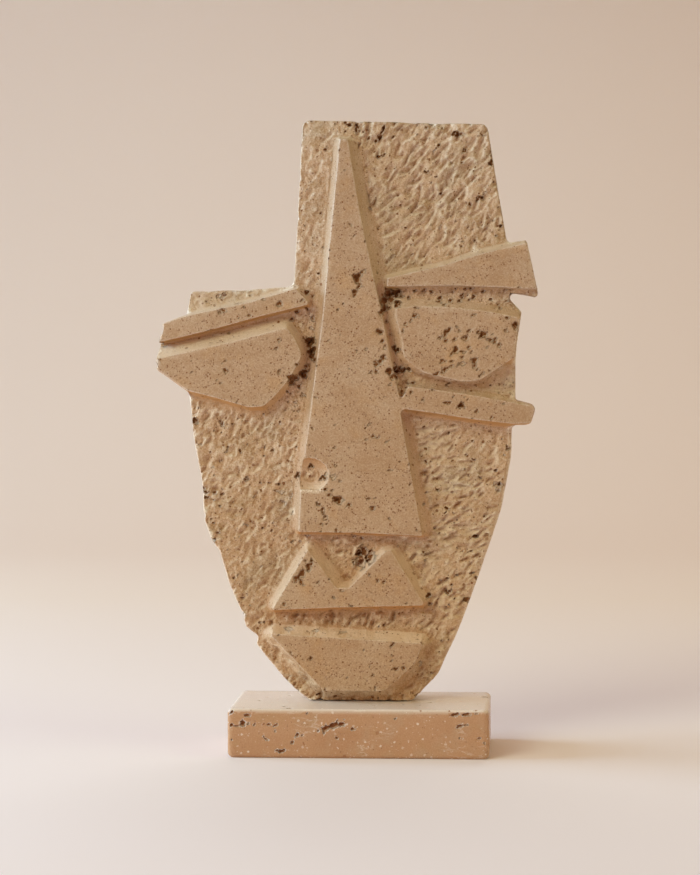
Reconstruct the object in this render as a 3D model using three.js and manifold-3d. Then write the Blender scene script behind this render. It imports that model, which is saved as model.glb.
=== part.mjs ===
// A mask of flat geometric planes, carved from one slab of travertine and standing on a travertine plinth.
// Millimetres, +Z up. The face looks along -Y, and the origin is the centre of the plinth's underside.

import * as THREE from 'three';
import Module from 'manifold-3d';
import { mergeVertices } from 'three/addons/utils/BufferGeometryUtils.js';

const wasm = await Module();
wasm.setup();

// The plinth is a sawn block. Its long edges are slightly eased, and its ends are rounded over.
// The mask stands just clear of its top.
const PLINTH_WIDTH = 160;
const PLINTH_DEPTH = 80;
const PLINTH_HEIGHT = 30;
const PLINTH_EASE = 1.2;
const PLINTH_ROUND = 3;
const REST_GAP = 0.3;

// The slab keeps its full thickness at the raised planes, and the ground round them is cut back.
const SLAB_THICKNESS = 40;
const RELIEF = 9;
const FACE_Y = -14;
const GROUND_Y = FACE_Y + RELIEF;
const BACK_Y = FACE_Y + SLAB_THICKNESS;
const ARRIS = 1;
const BEVEL_DEPTH = 3;

// The groove between the right brow and eye is cut less deep than the ground.
const GROOVE_DEPTH = 6;

// The nostril is a round scoop that runs out over the left edge of the nose and stops below at a level ledge.
const NOSTRIL = { x: -31.5, z: 141.3, halfWidth: 12.5, halfHeight: 10.6, depth: 6.5, ledge: 132.6 };

// A fillet gets one facet for each of these angles, and a bend below the second is taken as straight.
const FACET_ANGLE = THREE.MathUtils.degToRad(18);
const STRAIGHT_ANGLE = THREE.MathUtils.degToRad(2);
const LEAST_RADIUS = 0.3;

// How a carved wall falls from its plane to the ground: shares of the relief and of the wall's spread.
const STRAIGHT_WALL = [[0, 0], [1, 1]];
const COVED_WALL = [[0, 0], [0.55, 0.3], [0.8, 0.52], [0.95, 0.78], [1, 1]];

// Depths that reach past the surfaces to be cut, so that no two faces lie in one plane.
const CLEAR = 2;
const ROOT = 8;

// A corner of an outline seen from the front, where z is the height above the foot of the mask.
// The radius rounds the corner, and the spread belongs to the edge that starts at it.
const corner = (x, z, radius = LEAST_RADIUS, spread = 0) => ({ x, z, radius, spread });

// The sawn outline, anticlockwise from the left end of the foot. The spread is the bevel of the front edge.
const SLAB_OUTLINE = [
  corner(-33.6, 0, 1, 0),
  corner(32.5, 0, 7, 1.5),
  corner(48.5, 16.5, 20, 3),
  corner(61.5, 46, 40, 3),
  corner(72.5, 75, 40, 3),
  corner(87, 117.5, 60, 3),
  corner(93.6, 152, 60, 2),
  corner(94.2, 171.3, 3, 0),
  corner(105.3, 171.3, 5, 0),
  corner(109.1, 183.8, 3.5, 0),
  corner(96.1, 187.1, 2, 0.6),
  corner(96.2, 217, 60, 0),
  corner(100.1, 241.6, 1.5, 0.6),
  corner(88.3, 253.9, 3.5, 0),
  corner(110.9, 249.9, 2.5, 0),
  corner(103, 286.2, 1.6, 0),
  corner(91.2, 284.3, 2.5, 1),
  corner(78.9, 357.6, 5, 1),
  corner(-35.7, 361, 5, 1),
  corner(-39, 307.7, 60, 1),
  corner(-41.7, 258.3, 4, 1.2),
  corner(-88, 256, 60, 1.2),
  corner(-106, 255.6, 4, 1),
  corner(-108.7, 240.6, 1.5, 0),
  corner(-122, 235.7, 2, 0),
  corner(-126.4, 214, 8, 0),
  corner(-126.2, 206.3, 4, 0),
  corner(-107.4, 193, 1.5, 1),
  corner(-105.2, 165.8, 40, 1.5),
  corner(-99.2, 131.5, 12, 1.5),
  corner(-99.4, 115.5, 12, 1.5),
  corner(-94, 99, 8, 1.5),
  corner(-89.3, 93.6, 5, 1.5),
  corner(-82.8, 71.4, 30, 1.5),
  corner(-74.8, 53.6, 6, 1.5),
  corner(-73, 45.6, 3, 1.5),
  corner(-66.2, 40.4, 2, 1.5),
  corner(-66.2, 34.4, 4, 1.5),
  corner(-45.9, 9.8, 40, 1.5),
];

// The raised planes. Where a plane ends at the slab's side, its outline runs on past the slab.
const NOSE_AND_CHEEKBONE = [
  corner(-37.9, 105.9, 0.8, 2.6),
  corner(-2.4, 105.6, 1, 2.6),
  corner(38.4, 103.6, 0.8, 5.6),
  corner(24.6, 182.4, 3, 4),
  corner(46.2, 179.4, 60, 4),
  corner(69.2, 175.7, 60, 4),
  corner(93.8, 172.8, 20, 4),
  corner(125, 173.6, 1, 0),
  corner(125, 180, 1, 3.5),
  corner(93.8, 186, 60, 3.5),
  corner(69.2, 190.5, 60, 4),
  corner(46.2, 193.8, 60, 4),
  corner(30.3, 195.7, 1.5, 3),
  corner(25.2, 186, 2.2, 7.5),
  corner(13.6, 239.1, 80, 8),
  corner(0.3, 303.6, 80, 6),
  corner(-6.8, 347.8, 0.6, 3),
  corner(-11.6, 347.7, 0.6, 4.5),
  corner(-22.7, 237, 80, 5),
  corner(-36.6, 134, 40, 5.6),
];

const RIGHT_BROW = [
  corner(17.3, 257.3, 0.8, 2.8),
  corner(60, 257.7, 90, 2.8),
  corner(102.9, 255.6, 60, 2.6),
  corner(125, 254.6, 1, 0),
  corner(125, 288.4, 1, 3.5),
  corner(101.3, 283, 60, 4),
  corner(75.1, 277.1, 60, 4),
  corner(48, 269, 60, 3),
  corner(17.6, 262.5, 1, 4),
];

const RIGHT_EYE = [
  corner(39.7, 204.2, 16, 3),
  corner(63.8, 198.6, 14, 3),
  corner(74, 199.4, 14, 3),
  corner(97, 214.8, 20, 3),
  corner(120, 231, 1, 0),
  corner(120, 233, 1, 7),
  corner(98, 237.6, 60, 7),
  corner(80.8, 241.4, 60, 8),
  corner(56.2, 244.3, 60, 8),
  corner(35.6, 245, 60, 8),
  corner(22.6, 243.6, 2, 7.5),
  corner(22.8, 238, 2, 7.5),
  corner(26.4, 226, 12, 7),
  corner(27.5, 213.5, 10, 6),
];

const RIGHT_GROOVE_BED = [
  corner(30, 238, 2, 3),
  corner(115, 232, 2, 3),
  corner(115, 262, 2, 3),
  corner(30, 262, 4, 6),
];

const LEFT_BROW = [
  corner(-140, 219.8, 1, 1.5),
  corner(-93.9, 230.5, 60, 1.5),
  corner(-61.1, 239.3, 60, 1.8),
  corner(-30.2, 246.6, 1.6, 4),
  corner(-39.3, 256.2, 2, 3),
  corner(-68.9, 247.8, 60, 3.5),
  corner(-108.2, 239.7, 60, 3),
  corner(-140, 228.5, 1, 0),
];

const LEFT_EYE = [
  corner(-112, 187, 1, 4),
  corner(-106.5, 193.6, 2, 2.8),
  corner(-89.9, 189.4, 40, 2.8),
  corner(-68.5, 183.2, 9, 3),
  corner(-59.5, 183.8, 5, 3.6),
  corner(-51.3, 191.4, 14, 3.8),
  corner(-42.8, 201.6, 30, 3.8),
  corner(-35.4, 215.6, 7, 4.5),
  corner(-39.9, 225.4, 14, 4.5),
  corner(-44.8, 232.1, 2, 8),
  corner(-79.7, 223.4, 60, 8),
  corner(-140, 210.1, 1, 0),
  corner(-140, 200, 1, 0),
];

const UPPER_LIP = [
  corner(-54.9, 57.4, 1, 2.8),
  corner(-12.8, 59.3, 60, 2.8),
  corner(40, 60.7, 1.5, 5),
  corner(18.9, 95, 1.5, 3),
  corner(15.5, 94, 1.5, 4),
  corner(-6.6, 71.4, 1.5, 4),
  corner(-14.6, 71.3, 1.5, 6.5),
  corner(-32.5, 95, 0.8, 5),
];

const CHIN = [
  corner(-23.2, 7.6, 3, 5.6),
  corner(15.4, 7.6, 4, 6.5),
  corner(34, 25.2, 6, 6),
  corner(39, 37.2, 1.5, 6),
  corner(-56.6, 42.8, 1, 7),
];

// The unit vector that points out of an anticlockwise outline, square to the edge from one corner to the next.
function outwardNormal(from, to) {
  const length = Math.hypot(to.x - from.x, to.z - from.z);
  return { x: (to.z - from.z) / length, z: (from.x - to.x) / length };
}

// Moves each edge of an outline outwards by a share of its own spread. Where two edges nearly line up,
// their corner moves by the mean of the two.
function spreadOutline(outline, share) {
  const nearlyInLine = 0.3;
  return outline.map((here, i) => {
    const before = outline.at(i - 1);
    const after = outline[(i + 1) % outline.length];
    const a = outwardNormal(before, here);
    const b = outwardNormal(here, after);
    const moveA = before.spread * share;
    const moveB = here.spread * share;
    const mean = (moveA + moveB) / 2;
    const turn = a.x * b.z - a.z * b.x;
    const move = Math.abs(turn) > nearlyInLine
      ? { x: (moveA * b.z - moveB * a.z) / turn, z: (moveB * a.x - moveA * b.x) / turn }
      : { x: (mean * (a.x + b.x)) / 2, z: (mean * (a.z + b.z)) / 2 };
    const radius = Math.max(here.radius + Math.sign(turn) * mean, LEAST_RADIUS);
    return { ...here, x: here.x + move.x, z: here.z + move.z, radius };
  });
}

// How many facets each corner of an outline gets, so that every loop made from it has as many points.
function facetCounts(outline) {
  return outline.map((here, i) => {
    const a = outwardNormal(outline.at(i - 1), here);
    const b = outwardNormal(here, outline[(i + 1) % outline.length]);
    const angle = Math.acos(THREE.MathUtils.clamp(a.x * b.x + a.z * b.z, -1, 1));
    return angle < STRAIGHT_ANGLE ? 0 : Math.ceil(angle / FACET_ANGLE);
  });
}

// The points of an outline, with each corner rounded by an arc that leaves room for its neighbours'.
function roundedPoints(outline, counts) {
  const largestShare = 0.45;
  return outline.flatMap((here, i) => {
    if (counts[i] === 0) return [new THREE.Vector2(here.x, here.z)];
    const before = outline.at(i - 1);
    const after = outline[(i + 1) % outline.length];
    const a = outwardNormal(before, here);
    const b = outwardNormal(here, after);
    const turn = Math.atan2(a.x * b.z - a.z * b.x, a.x * b.x + a.z * b.z);
    const edgeBefore = Math.hypot(here.x - before.x, here.z - before.z);
    const edgeAfter = Math.hypot(after.x - here.x, after.z - here.z);
    const reach = Math.min(
      here.radius * Math.tan(Math.abs(turn) / 2),
      largestShare * edgeBefore,
      largestShare * edgeAfter,
    );
    const radius = reach / Math.tan(Math.abs(turn) / 2);
    const side = Math.sign(turn);
    const start = { x: here.x + a.z * reach, z: here.z - a.x * reach };
    const centre = { x: start.x - side * a.x * radius, z: start.z - side * a.z * radius };
    const startAngle = Math.atan2(side * a.z, side * a.x);
    return Array.from({ length: counts[i] + 1 }, (_, k) => {
      const angle = startAngle + (turn * k) / counts[i];
      return new THREE.Vector2(
        centre.x + radius * Math.cos(angle),
        centre.z + radius * Math.sin(angle),
      );
    });
  });
}

// A closed body through loops of equal point counts, listed from the back to the front.
function loftedGeometry(loops) {
  const positions = loops.flatMap(({ y, points }) => points.flatMap((p) => [p.x, y, p.y]));
  const count = loops[0].points.length;
  const index = [];
  for (let level = 0; level + 1 < loops.length; level += 1) {
    for (let i = 0; i < count; i += 1) {
      const next = (i + 1) % count;
      const rear = level * count;
      const front = rear + count;
      index.push(rear + i, rear + next, front + next, rear + i, front + next, front + i);
    }
  }
  const addCap = (loop, first, facesFront) => {
    for (const [i, j, k] of THREE.ShapeUtils.triangulateShape(loop.points, [])) {
      const [a, b, c] = [loop.points[i], loop.points[j], loop.points[k]];
      const anticlockwise = (b.x - a.x) * (c.y - a.y) - (b.y - a.y) * (c.x - a.x) > 0;
      const face = anticlockwise === facesFront ? [i, j, k] : [i, k, j];
      index.push(...face.map((corner) => first + corner));
    }
  };
  addCap(loops[0], 0, false);
  addCap(loops.at(-1), (loops.length - 1) * count, true);
  const geometry = new THREE.BufferGeometry();
  geometry.setAttribute('position', new THREE.Float32BufferAttribute(positions, 3));
  geometry.setIndex(index);
  return geometry;
}

// Between three.js geometry and the solids that can be joined and cut.
function solidFrom(geometry) {
  const bare = geometry.clone();
  bare.deleteAttribute('normal');
  bare.deleteAttribute('uv');
  const merged = mergeVertices(bare, 1e-5);
  const vertProperties = new Float32Array(merged.attributes.position.array);
  const triVerts = new Uint32Array(merged.index.array);
  return new wasm.Manifold(new wasm.Mesh({ numProp: 3, vertProperties, triVerts }));
}

function geometryFrom(solid) {
  const mesh = solid.getMesh();
  const geometry = new THREE.BufferGeometry();
  geometry.setAttribute('position', new THREE.Float32BufferAttribute(mesh.vertProperties, 3));
  geometry.setIndex(new THREE.Uint32BufferAttribute(mesh.triVerts, 1));
  const faceted = geometry.toNonIndexed();
  faceted.computeVertexNormals();
  return faceted;
}

// The blank, sawn to the outline: an eased back edge, and a bevelled edge where the ground meets the side.
function slabBlank() {
  const counts = facetCounts(SLAB_OUTLINE);
  const loop = (y, bevelShare, inset) => {
    const bevelled = spreadOutline(SLAB_OUTLINE, -bevelShare);
    const eased = bevelled.map((here) => ({ ...here, spread: inset }));
    return { y, points: roundedPoints(spreadOutline(eased, -1), counts) };
  };
  return solidFrom(loftedGeometry([
    loop(BACK_Y, 0, ARRIS),
    loop(BACK_Y - ARRIS, 0, 0),
    loop(GROUND_Y + BEVEL_DEPTH, 0, 0),
    loop(GROUND_Y, 1, 0),
    loop(FACE_Y + ARRIS, 1, 0),
    loop(FACE_Y, 1, ARRIS),
  ]));
}

// The stone that is left under one raised plane, rooted in the slab behind it.
function raisedPlane(outline, wall, faceY = FACE_Y) {
  const counts = facetCounts(outline);
  const loops = wall.map(([fall, share]) => ({
    y: faceY + fall * (GROUND_Y - faceY),
    points: roundedPoints(spreadOutline(outline, share), counts),
  }));
  const face = { y: FACE_Y - CLEAR, points: loops[0].points };
  const root = { y: GROUND_Y + ROOT, points: loops.at(-1).points };
  const front = faceY === FACE_Y ? [face] : [];
  return solidFrom(loftedGeometry([root, ...loops.reverse(), ...front]));
}

function nostrilScoop() {
  const roundSteps = 20;
  const heightSteps = 14;
  const scoop = new THREE.SphereGeometry(1, roundSteps, heightSteps);
  scoop.scale(NOSTRIL.halfWidth, NOSTRIL.depth, NOSTRIL.halfHeight);
  scoop.translate(NOSTRIL.x, FACE_Y, NOSTRIL.z);
  const belowLedge = new THREE.BoxGeometry(4 * NOSTRIL.halfWidth, 4 * NOSTRIL.depth, NOSTRIL.halfHeight);
  belowLedge.translate(NOSTRIL.x, FACE_Y, NOSTRIL.ledge - NOSTRIL.halfHeight / 2);
  return solidFrom(scoop).subtract(solidFrom(belowLedge));
}

// The waste is all the stone in front of the ground that no raised plane keeps.
function maskGeometry() {
  const planes = [
    raisedPlane(NOSE_AND_CHEEKBONE, COVED_WALL),
    raisedPlane(RIGHT_BROW, COVED_WALL),
    raisedPlane(RIGHT_EYE, STRAIGHT_WALL),
    raisedPlane(RIGHT_GROOVE_BED, STRAIGHT_WALL, FACE_Y + GROOVE_DEPTH),
    raisedPlane(LEFT_BROW, COVED_WALL),
    raisedPlane(LEFT_EYE, STRAIGHT_WALL),
    raisedPlane(UPPER_LIP, STRAIGHT_WALL),
    raisedPlane(CHIN, STRAIGHT_WALL),
  ];
  const kept = planes.reduce((whole, plane) => whole.add(plane));
  const xs = SLAB_OUTLINE.map((here) => here.x);
  const zs = SLAB_OUTLINE.map((here) => here.z);
  const width = Math.max(...xs) - Math.min(...xs) + 2 * CLEAR;
  const height = Math.max(...zs) - Math.min(...zs) + 2 * CLEAR;
  const depth = RELIEF + 2 * CLEAR;
  const front = new THREE.BoxGeometry(width, depth, height);
  front.translate(
    (Math.max(...xs) + Math.min(...xs)) / 2,
    GROUND_Y - depth / 2,
    (Math.max(...zs) + Math.min(...zs)) / 2,
  );
  const waste = solidFrom(front).subtract(kept);
  return geometryFrom(slabBlank().subtract(waste).subtract(nostrilScoop()));
}

// The plinth is a row of sections from back to front. Near the faces each one is narrower, along the
// round of the upright edges, and lower, along the ease of the long ones.
function plinthGeometry() {
  const section = (fromFace, facesFront) => {
    const narrower = fromFace < PLINTH_ROUND
      ? PLINTH_ROUND - Math.sqrt(PLINTH_ROUND ** 2 - (PLINTH_ROUND - fromFace) ** 2)
      : 0;
    const halfWidth = PLINTH_WIDTH / 2 - narrower;
    const halfHeight = PLINTH_HEIGHT / 2 - Math.max(PLINTH_EASE - fromFace, 0);
    const radius = PLINTH_ROUND - 0.4 * narrower;
    const outline = [
      corner(-halfWidth, -halfHeight, radius),
      corner(halfWidth, -halfHeight, radius),
      corner(halfWidth, halfHeight, radius),
      corner(-halfWidth, halfHeight, radius),
    ];
    const y = PLINTH_DEPTH / 2 - fromFace;
    return { y: facesFront ? -y : y, points: roundedPoints(outline, outline.map(() => 5)) };
  };
  const depths = [0, PLINTH_ROUND / 8, PLINTH_EASE, PLINTH_ROUND];
  return loftedGeometry([
    ...depths.map((depth) => section(depth, false)),
    ...depths.map((depth) => section(depth, true)).reverse(),
  ]);
}

const stone = (colour) => new THREE.MeshStandardMaterial({ color: colour, roughness: 0.85, metalness: 0 });

const plinth = new THREE.Mesh(plinthGeometry(), stone('#c29a76'));
plinth.name = 'plinth';
plinth.position.z = PLINTH_HEIGHT / 2;

const mask = new THREE.Mesh(maskGeometry(), stone('#c8a680'));
mask.name = 'mask';
mask.position.z = PLINTH_HEIGHT + REST_GAP;

const stoneMask = new THREE.Group();
stoneMask.name = 'stone_mask';
stoneMask.add(plinth, mask);

export default stoneMask;
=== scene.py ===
"""A mask of flat geometric planes, carved from one slab of travertine, on a travertine plinth.

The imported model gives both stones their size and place. This script gives them their looks: tool marks,
worn arrises, pits and pores, and the colours of the stone. Lengths are metres, and the names that end
in MM are millimetres.
"""

import math

import bmesh
import bpy
import numpy as np
from mathutils import Matrix, Vector
from mathutils.kdtree import KDTree


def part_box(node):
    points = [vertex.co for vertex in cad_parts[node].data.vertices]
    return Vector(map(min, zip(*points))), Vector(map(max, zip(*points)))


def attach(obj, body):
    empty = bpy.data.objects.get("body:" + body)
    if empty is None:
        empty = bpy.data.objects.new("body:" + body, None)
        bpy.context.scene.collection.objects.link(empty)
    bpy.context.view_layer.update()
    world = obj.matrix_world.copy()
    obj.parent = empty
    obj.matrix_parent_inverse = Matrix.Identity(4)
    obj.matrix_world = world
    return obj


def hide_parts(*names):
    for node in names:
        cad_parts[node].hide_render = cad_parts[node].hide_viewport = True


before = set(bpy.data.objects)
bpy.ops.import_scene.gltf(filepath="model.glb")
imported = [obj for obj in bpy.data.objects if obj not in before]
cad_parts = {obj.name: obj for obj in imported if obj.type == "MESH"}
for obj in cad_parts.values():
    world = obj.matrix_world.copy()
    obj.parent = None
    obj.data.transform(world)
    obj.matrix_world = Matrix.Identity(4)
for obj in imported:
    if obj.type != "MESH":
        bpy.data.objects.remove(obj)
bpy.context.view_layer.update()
MM = 0.001


# The slab
# One slab of travertine, 40 mm thick. Its front was cut back to the ground round the raised planes.
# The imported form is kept, and only its faces are divided, so that the finer carving has points to move.
FACE_DEPTH_MM = -14
GROUND_DEPTH_MM = -5
FRONT_STEP_MM = 1.74
BACK_STEP_MM = 4
ARRIS_BAND_MM = 0.7
FACES_FRONT = -0.97
FACES_BACK = 0.9
GROOVE_LEFT_MM = 5
GROOVE_MIDDLE_MM = 224
GROOVE_HALF_MM = 16
GROOVE_FRONT_MM = -12
WALL_CUTS_MM = [-13.3, -12.2, -10.7, -9.2, -7.7, -6.2, -3.6, -0.8, 2.4, 6, 10, 14, 18, 22]


def closed_form(node):
    """The node's own form as one closed mesh, with each flat face whole."""
    form = bmesh.new()
    form.from_mesh(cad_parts[node].data)
    bmesh.ops.remove_doubles(form, verts=form.verts, dist=1e-6)
    bmesh.ops.dissolve_limit(
        form, angle_limit=math.radians(1), verts=form.verts, edges=form.edges, delimit=set()
    )
    bmesh.ops.dissolve_degenerate(form, dist=1e-4, edges=form.edges)
    form.normal_update()
    return form


def steps(low, high, step):
    """Places from low to high, a step apart and off the form's own corners."""
    return np.arange(low + 0.37 * step, high, step)


def slice_faces(form, chosen, axis, places):
    """Cuts the chosen faces along parallel planes, square to the axis, in rising order."""
    form.normal_update()
    form.faces.index_update()

    def reach(face):
        along = [corner.co[axis] for corner in face.verts]
        return min(along), max(along)

    waiting = sorted(((reach(face), face) for face in form.faces if chosen(face)), key=lambda row: row[0])
    normal = Vector((0, 0, 0))
    normal[axis] = 1
    crossing = []
    first = 0
    for place in places:
        while first < len(waiting) and waiting[first][0][0] < place:
            crossing.append(waiting[first])
            first += 1
        crossing = [row for row in crossing if row[0][1] > place]
        parts = set()
        for _, face in crossing:
            parts.add(face)
            parts.update(face.edges)
            parts.update(face.verts)
        if parts:
            cut = bmesh.ops.bisect_plane(
                form, geom=list(parts), dist=2e-6, plane_co=normal * place, plane_no=normal
            )
            crossing = [(reach(part), part) for part in cut["geom"] if isinstance(part, bmesh.types.BMFace)]


def is_back(face):
    return face.normal.y > FACES_BACK


def is_plane(face):
    return face.normal.y < FACES_FRONT and face.calc_center_median().y < (FACE_DEPTH_MM + 0.1) * MM


def is_tooled(face):
    return face.normal.y < FACES_FRONT and face.calc_center_median().y > (FACE_DEPTH_MM + 3) * MM


def is_groove(face):
    """The sunk faces between the right eye and the bar, which the tool reached from the side."""
    middle = face.calc_center_median() / MM
    beside = middle.x > GROOVE_LEFT_MM and abs(middle.z - GROOVE_MIDDLE_MM) < GROOVE_HALF_MM
    return beside and GROOVE_FRONT_MM < middle.y < GROUND_DEPTH_MM and face.normal.y < -0.2


low, high = (np.array(corner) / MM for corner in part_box("mask"))
mask_form = closed_form("mask")
raised = [face for face in mask_form.faces if is_plane(face)]
bmesh.ops.inset_region(mask_form, faces=raised, thickness=ARRIS_BAND_MM * MM, use_even_offset=True)
for axis in (0, 2):
    slice_faces(mask_form, is_back, axis, steps(low[axis], high[axis], BACK_STEP_MM) * MM)
slice_faces(mask_form, lambda face: not is_back(face), 1, np.array(WALL_CUTS_MM) * MM)
for axis in (0, 2):
    cuts = steps(low[axis], high[axis], FRONT_STEP_MM) * MM
    slice_faces(mask_form, is_tooled, axis, cuts)
    slice_faces(mask_form, lambda face: not is_tooled(face) and not is_back(face), axis, cuts[::2])
bmesh.ops.triangulate(mask_form, faces=mask_form.faces)
mask_form.normal_update()


# The pits
# Travertine is full of holes left by gas and roots. The larger ones lie where the photo shows them. A row
# is a column and row of the photo, a length and width in its pixels, a lean in degrees and a share of
# depth. In the lists that end in MM, it starts with across, up, length and width in millimetres.
CROWN_PITS = [
    (350, 125, 4, 3, 0, 0.9), (357, 127.5, 10, 3, 85, 1), (383, 131, 10, 2.5, 70, 0.9),
    (380, 138, 6, 3, 60, 1), (369, 138.5, 4, 3, 40, 0.9), (376.5, 141, 3, 3, 0, 0.8),
    (325.6, 149.6, 4, 3, 20, 0.8), (383, 155.5, 6, 2.5, 25, 0.8), (456, 135, 8, 4.5, 20, 1),
    (462, 134, 4, 3, 0, 0.7), (439, 146, 4, 3.5, 60, 0.9), (465, 150.7, 6, 3, 50, 0.7),
    (490.7, 164, 5.5, 3.2, 100, 1), (479.4, 198, 7, 4, 15, 0.9), (484.5, 193, 6, 2, 50, 0.6),
    (469.8, 204.6, 4.5, 2.5, 70, 0.8), (466.8, 204.4, 3.5, 1.5, 75, 0.6), (440.5, 193.8, 3.2, 3, 0, 1),
    (427, 172.7, 3.4, 2.6, 0, 0.9), (500.8, 226.4, 4.5, 2.4, 35, 1), (496.3, 235.8, 3.2, 2, 40, 0.7),
    (498.5, 208, 3, 1.8, 60, 0.7), (482.8, 135.6, 4.5, 1.5, -10, 0.7), (439.7, 226.7, 6, 1.6, 72, 0.5),
    (412.4, 254.9, 3, 2, 60, 0.6), (426.8, 128.1, 3.2, 2.2, -30, 0.8), (434, 151.6, 5.5, 1.6, 65, 0.5),
    (393, 256, 4, 2, 50, 0.5), (369.4, 208.5, 4, 1.6, 0, 0.4),
]
LEFT_CHEEK_PITS = [
    (196.4, 420.5, 6, 4.6, 80, 1), (222.7, 422.6, 6.5, 3.6, -55, 0.6), (241, 451.8, 4, 2, -45, 1),
    (226.3, 451.3, 4, 2, 0, 0.4), (200.4, 444.6, 4, 1.6, 0, 0.4), (247.2, 479, 5.4, 4.6, 60, 0.7),
    (261, 483, 3.2, 1.6, -15, 0.6), (264.6, 447.8, 3.6, 1.4, 80, 0.6), (279.4, 484.4, 3, 2.6, 0, 0.9),
    (206.2, 491.2, 6, 2.4, -25, 1), (204.8, 488.4, 4, 2, -20, 0.8), (206.6, 496.9, 5, 2.2, 15, 1),
    (215.4, 492, 3, 2.8, 0, 0.9), (214, 499.2, 3, 2, 0, 0.8), (223.1, 493.8, 4, 1.8, 0, 0.8),
    (212.9, 466.5, 3.4, 1.8, 30, 0.6), (254.4, 496.3, 3, 1.4, 40, 0.6), (291.4, 496, 6, 1.6, 65, 0.5),
    (298.1, 474.6, 5, 4, 0, 0.9), (280.3, 421.9, 3.4, 2, 70, 0.5), (214.2, 522.8, 4, 2, -20, 0.8),
    (217.8, 532.6, 3, 2.4, 0, 0.8), (245.9, 524.1, 6, 1.3, -30, 0.5), (262.9, 527.7, 3, 2.4, 40, 1),
    (291.9, 512.9, 3.2, 1.6, 50, 0.5), (280, 491.5, 9, 2.4, -5, 0.5), (284.5, 502, 8, 2, -40, 0.5),
    (238, 575, 3, 2, 30, 0.6), (262, 566, 3, 2, 40, 0.6), (243, 598, 3, 2, 0, 0.7),
]
RIGHT_CHEEK_PITS = [
    (424.2, 426.7, 3.6, 2, 40, 1), (427, 462, 3, 1.8, 80, 0.7), (466, 454.8, 3, 1.6, 0, 0.7),
    (474.4, 459.7, 3.8, 2, -15, 0.9), (507.9, 447.9, 5.4, 4, -40, 0.7), (495.4, 470.2, 3.2, 2.6, 0, 1),
    (480.2, 477.6, 3.8, 1.8, -50, 0.8), (499.6, 484.5, 3.6, 2.6, -50, 1), (499.4, 490.5, 3.4, 2.6, 0, 0.5),
    (498.5, 485.5, 9, 6.5, -60, 0.3), (437.8, 490, 3.8, 1.6, -50, 0.8), (448, 508.8, 4.8, 1.3, -60, 0.9),
    (446, 511.8, 3.2, 1.6, 45, 0.8), (453.6, 512.9, 3.2, 1.3, -45, 0.6), (423.5, 503.5, 3, 2, 30, 0.8),
    (476, 536, 3.8, 3.2, 0, 1), (471.5, 572.6, 3.2, 2.4, 0, 0.8),
]
CHIN_HOLLOW_PITS_MM = [
    (2, 120.5, 12, 10, 20, 0.7), (-1.5, 122.5, 4, 2.5, 30, 0.9), (4, 118, 4, 2.5, -20, 0.9),
]
CHIN_GROUND_PITS = [
    (355, 535.5, 5, 2, 0, 0.7), (362, 537.5, 4, 2, 0, 0.7), (308, 536, 5, 2, 0, 0.6),
    (428.4, 594.6, 5, 3.6, 30, 1), (430, 603, 4.6, 3, 20, 0.9), (448, 591.8, 6.5, 4, 0, 0.8),
    (343, 631, 4.4, 2.6, 0, 0.5), (290, 628, 6, 2.4, 0, 0.5), (316, 629, 6, 2, 0, 0.5),
    (441, 580, 3, 2, 0, 0.6), (442, 640, 3, 2, 0, 0.6), (261, 622, 3, 2, 0, 0.7), (300, 541, 3, 2, 0, 0.6),
    (398, 546, 3, 2, 0, 0.6), (425, 560, 3, 2, 30, 0.6),
]
RIGHT_BAND_PITS = [
    (409, 297, 3.4, 3, 0, 0.8), (415, 291, 3.6, 3, 0, 0.8), (424, 290, 3.6, 2.6, 0, 0.8),
    (432, 292, 3.2, 2.6, 30, 0.8), (441, 298, 4, 3.2, 0, 0.8), (440, 302, 3, 2.4, 0, 0.7),
    (450, 301, 3.4, 3, 0, 0.8), (445, 305, 3, 2.4, 0, 0.7), (459, 301, 3.6, 3, 0, 0.8),
    (462, 296.5, 6, 3, 80, 0.8), (466, 289, 3.4, 2.6, 0, 0.8), (471, 288, 4, 3, 0, 0.9),
    (469, 300, 3, 2.6, 0, 0.8), (474, 297, 5, 3, 90, 0.8), (483, 292, 3.6, 2.6, 0, 0.8),
    (500, 308, 3, 2.4, 0, 0.7), (402, 292, 3, 2.4, 0, 0.7), (491, 299, 3.4, 2.4, 0, 0.7),
    (507, 301, 3, 2.2, 0, 0.7), (453, 292, 3, 2.2, 0, 0.7),
]
RIGHT_OF_NOSE_PITS = [
    (382, 313, 4.4, 3.6, 0, 0.9), (390, 308, 4, 3, 30, 0.8), (397, 303, 5, 4, 0, 0.9),
    (391, 295, 9, 3.4, 30, 0.9), (401, 297, 4, 3, 0, 0.8), (386, 300, 5, 3, 60, 0.8),
    (379, 331.5, 4.4, 3.4, 60, 0.9), (384, 341.5, 4, 3, 60, 0.9), (384, 357, 5.6, 3.8, 80, 1),
    (377, 361, 3.4, 2.4, 0, 0.7), (388, 371, 4.4, 3.4, 40, 0.9), (397, 351.5, 3.4, 2.6, 0, 0.8),
    (409, 384, 3, 2.2, 0, 0.6), (448.5, 383.5, 6, 1.6, 32, 0.8), (387, 322, 3, 2.4, 0, 0.7),
    (391, 335, 3, 2.2, 0, 0.7), (395, 363, 3, 2.4, 0, 0.7), (392, 384, 3, 2.2, 0, 0.6),
]
LEFT_OF_NOSE_PITS_MM = [
    (-29.5, 268, 3, 2.4, 70, 0.6), (-30.5, 262, 2.6, 2, 0, 0.5), (-31.5, 253.5, 6.8, 5.4, 60, 1),
    (-30, 247, 7.6, 4.4, 75, 1), (-28, 242.5, 3, 2, 40, 1), (-35.5, 234, 5.6, 3.5, 80, 1),
    (-42, 230.5, 6.5, 4, 50, 1), (-38, 226, 3, 1.5, 20, 0.8), (-36, 220.5, 2.5, 1.9, 0, 0.5),
]
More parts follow.
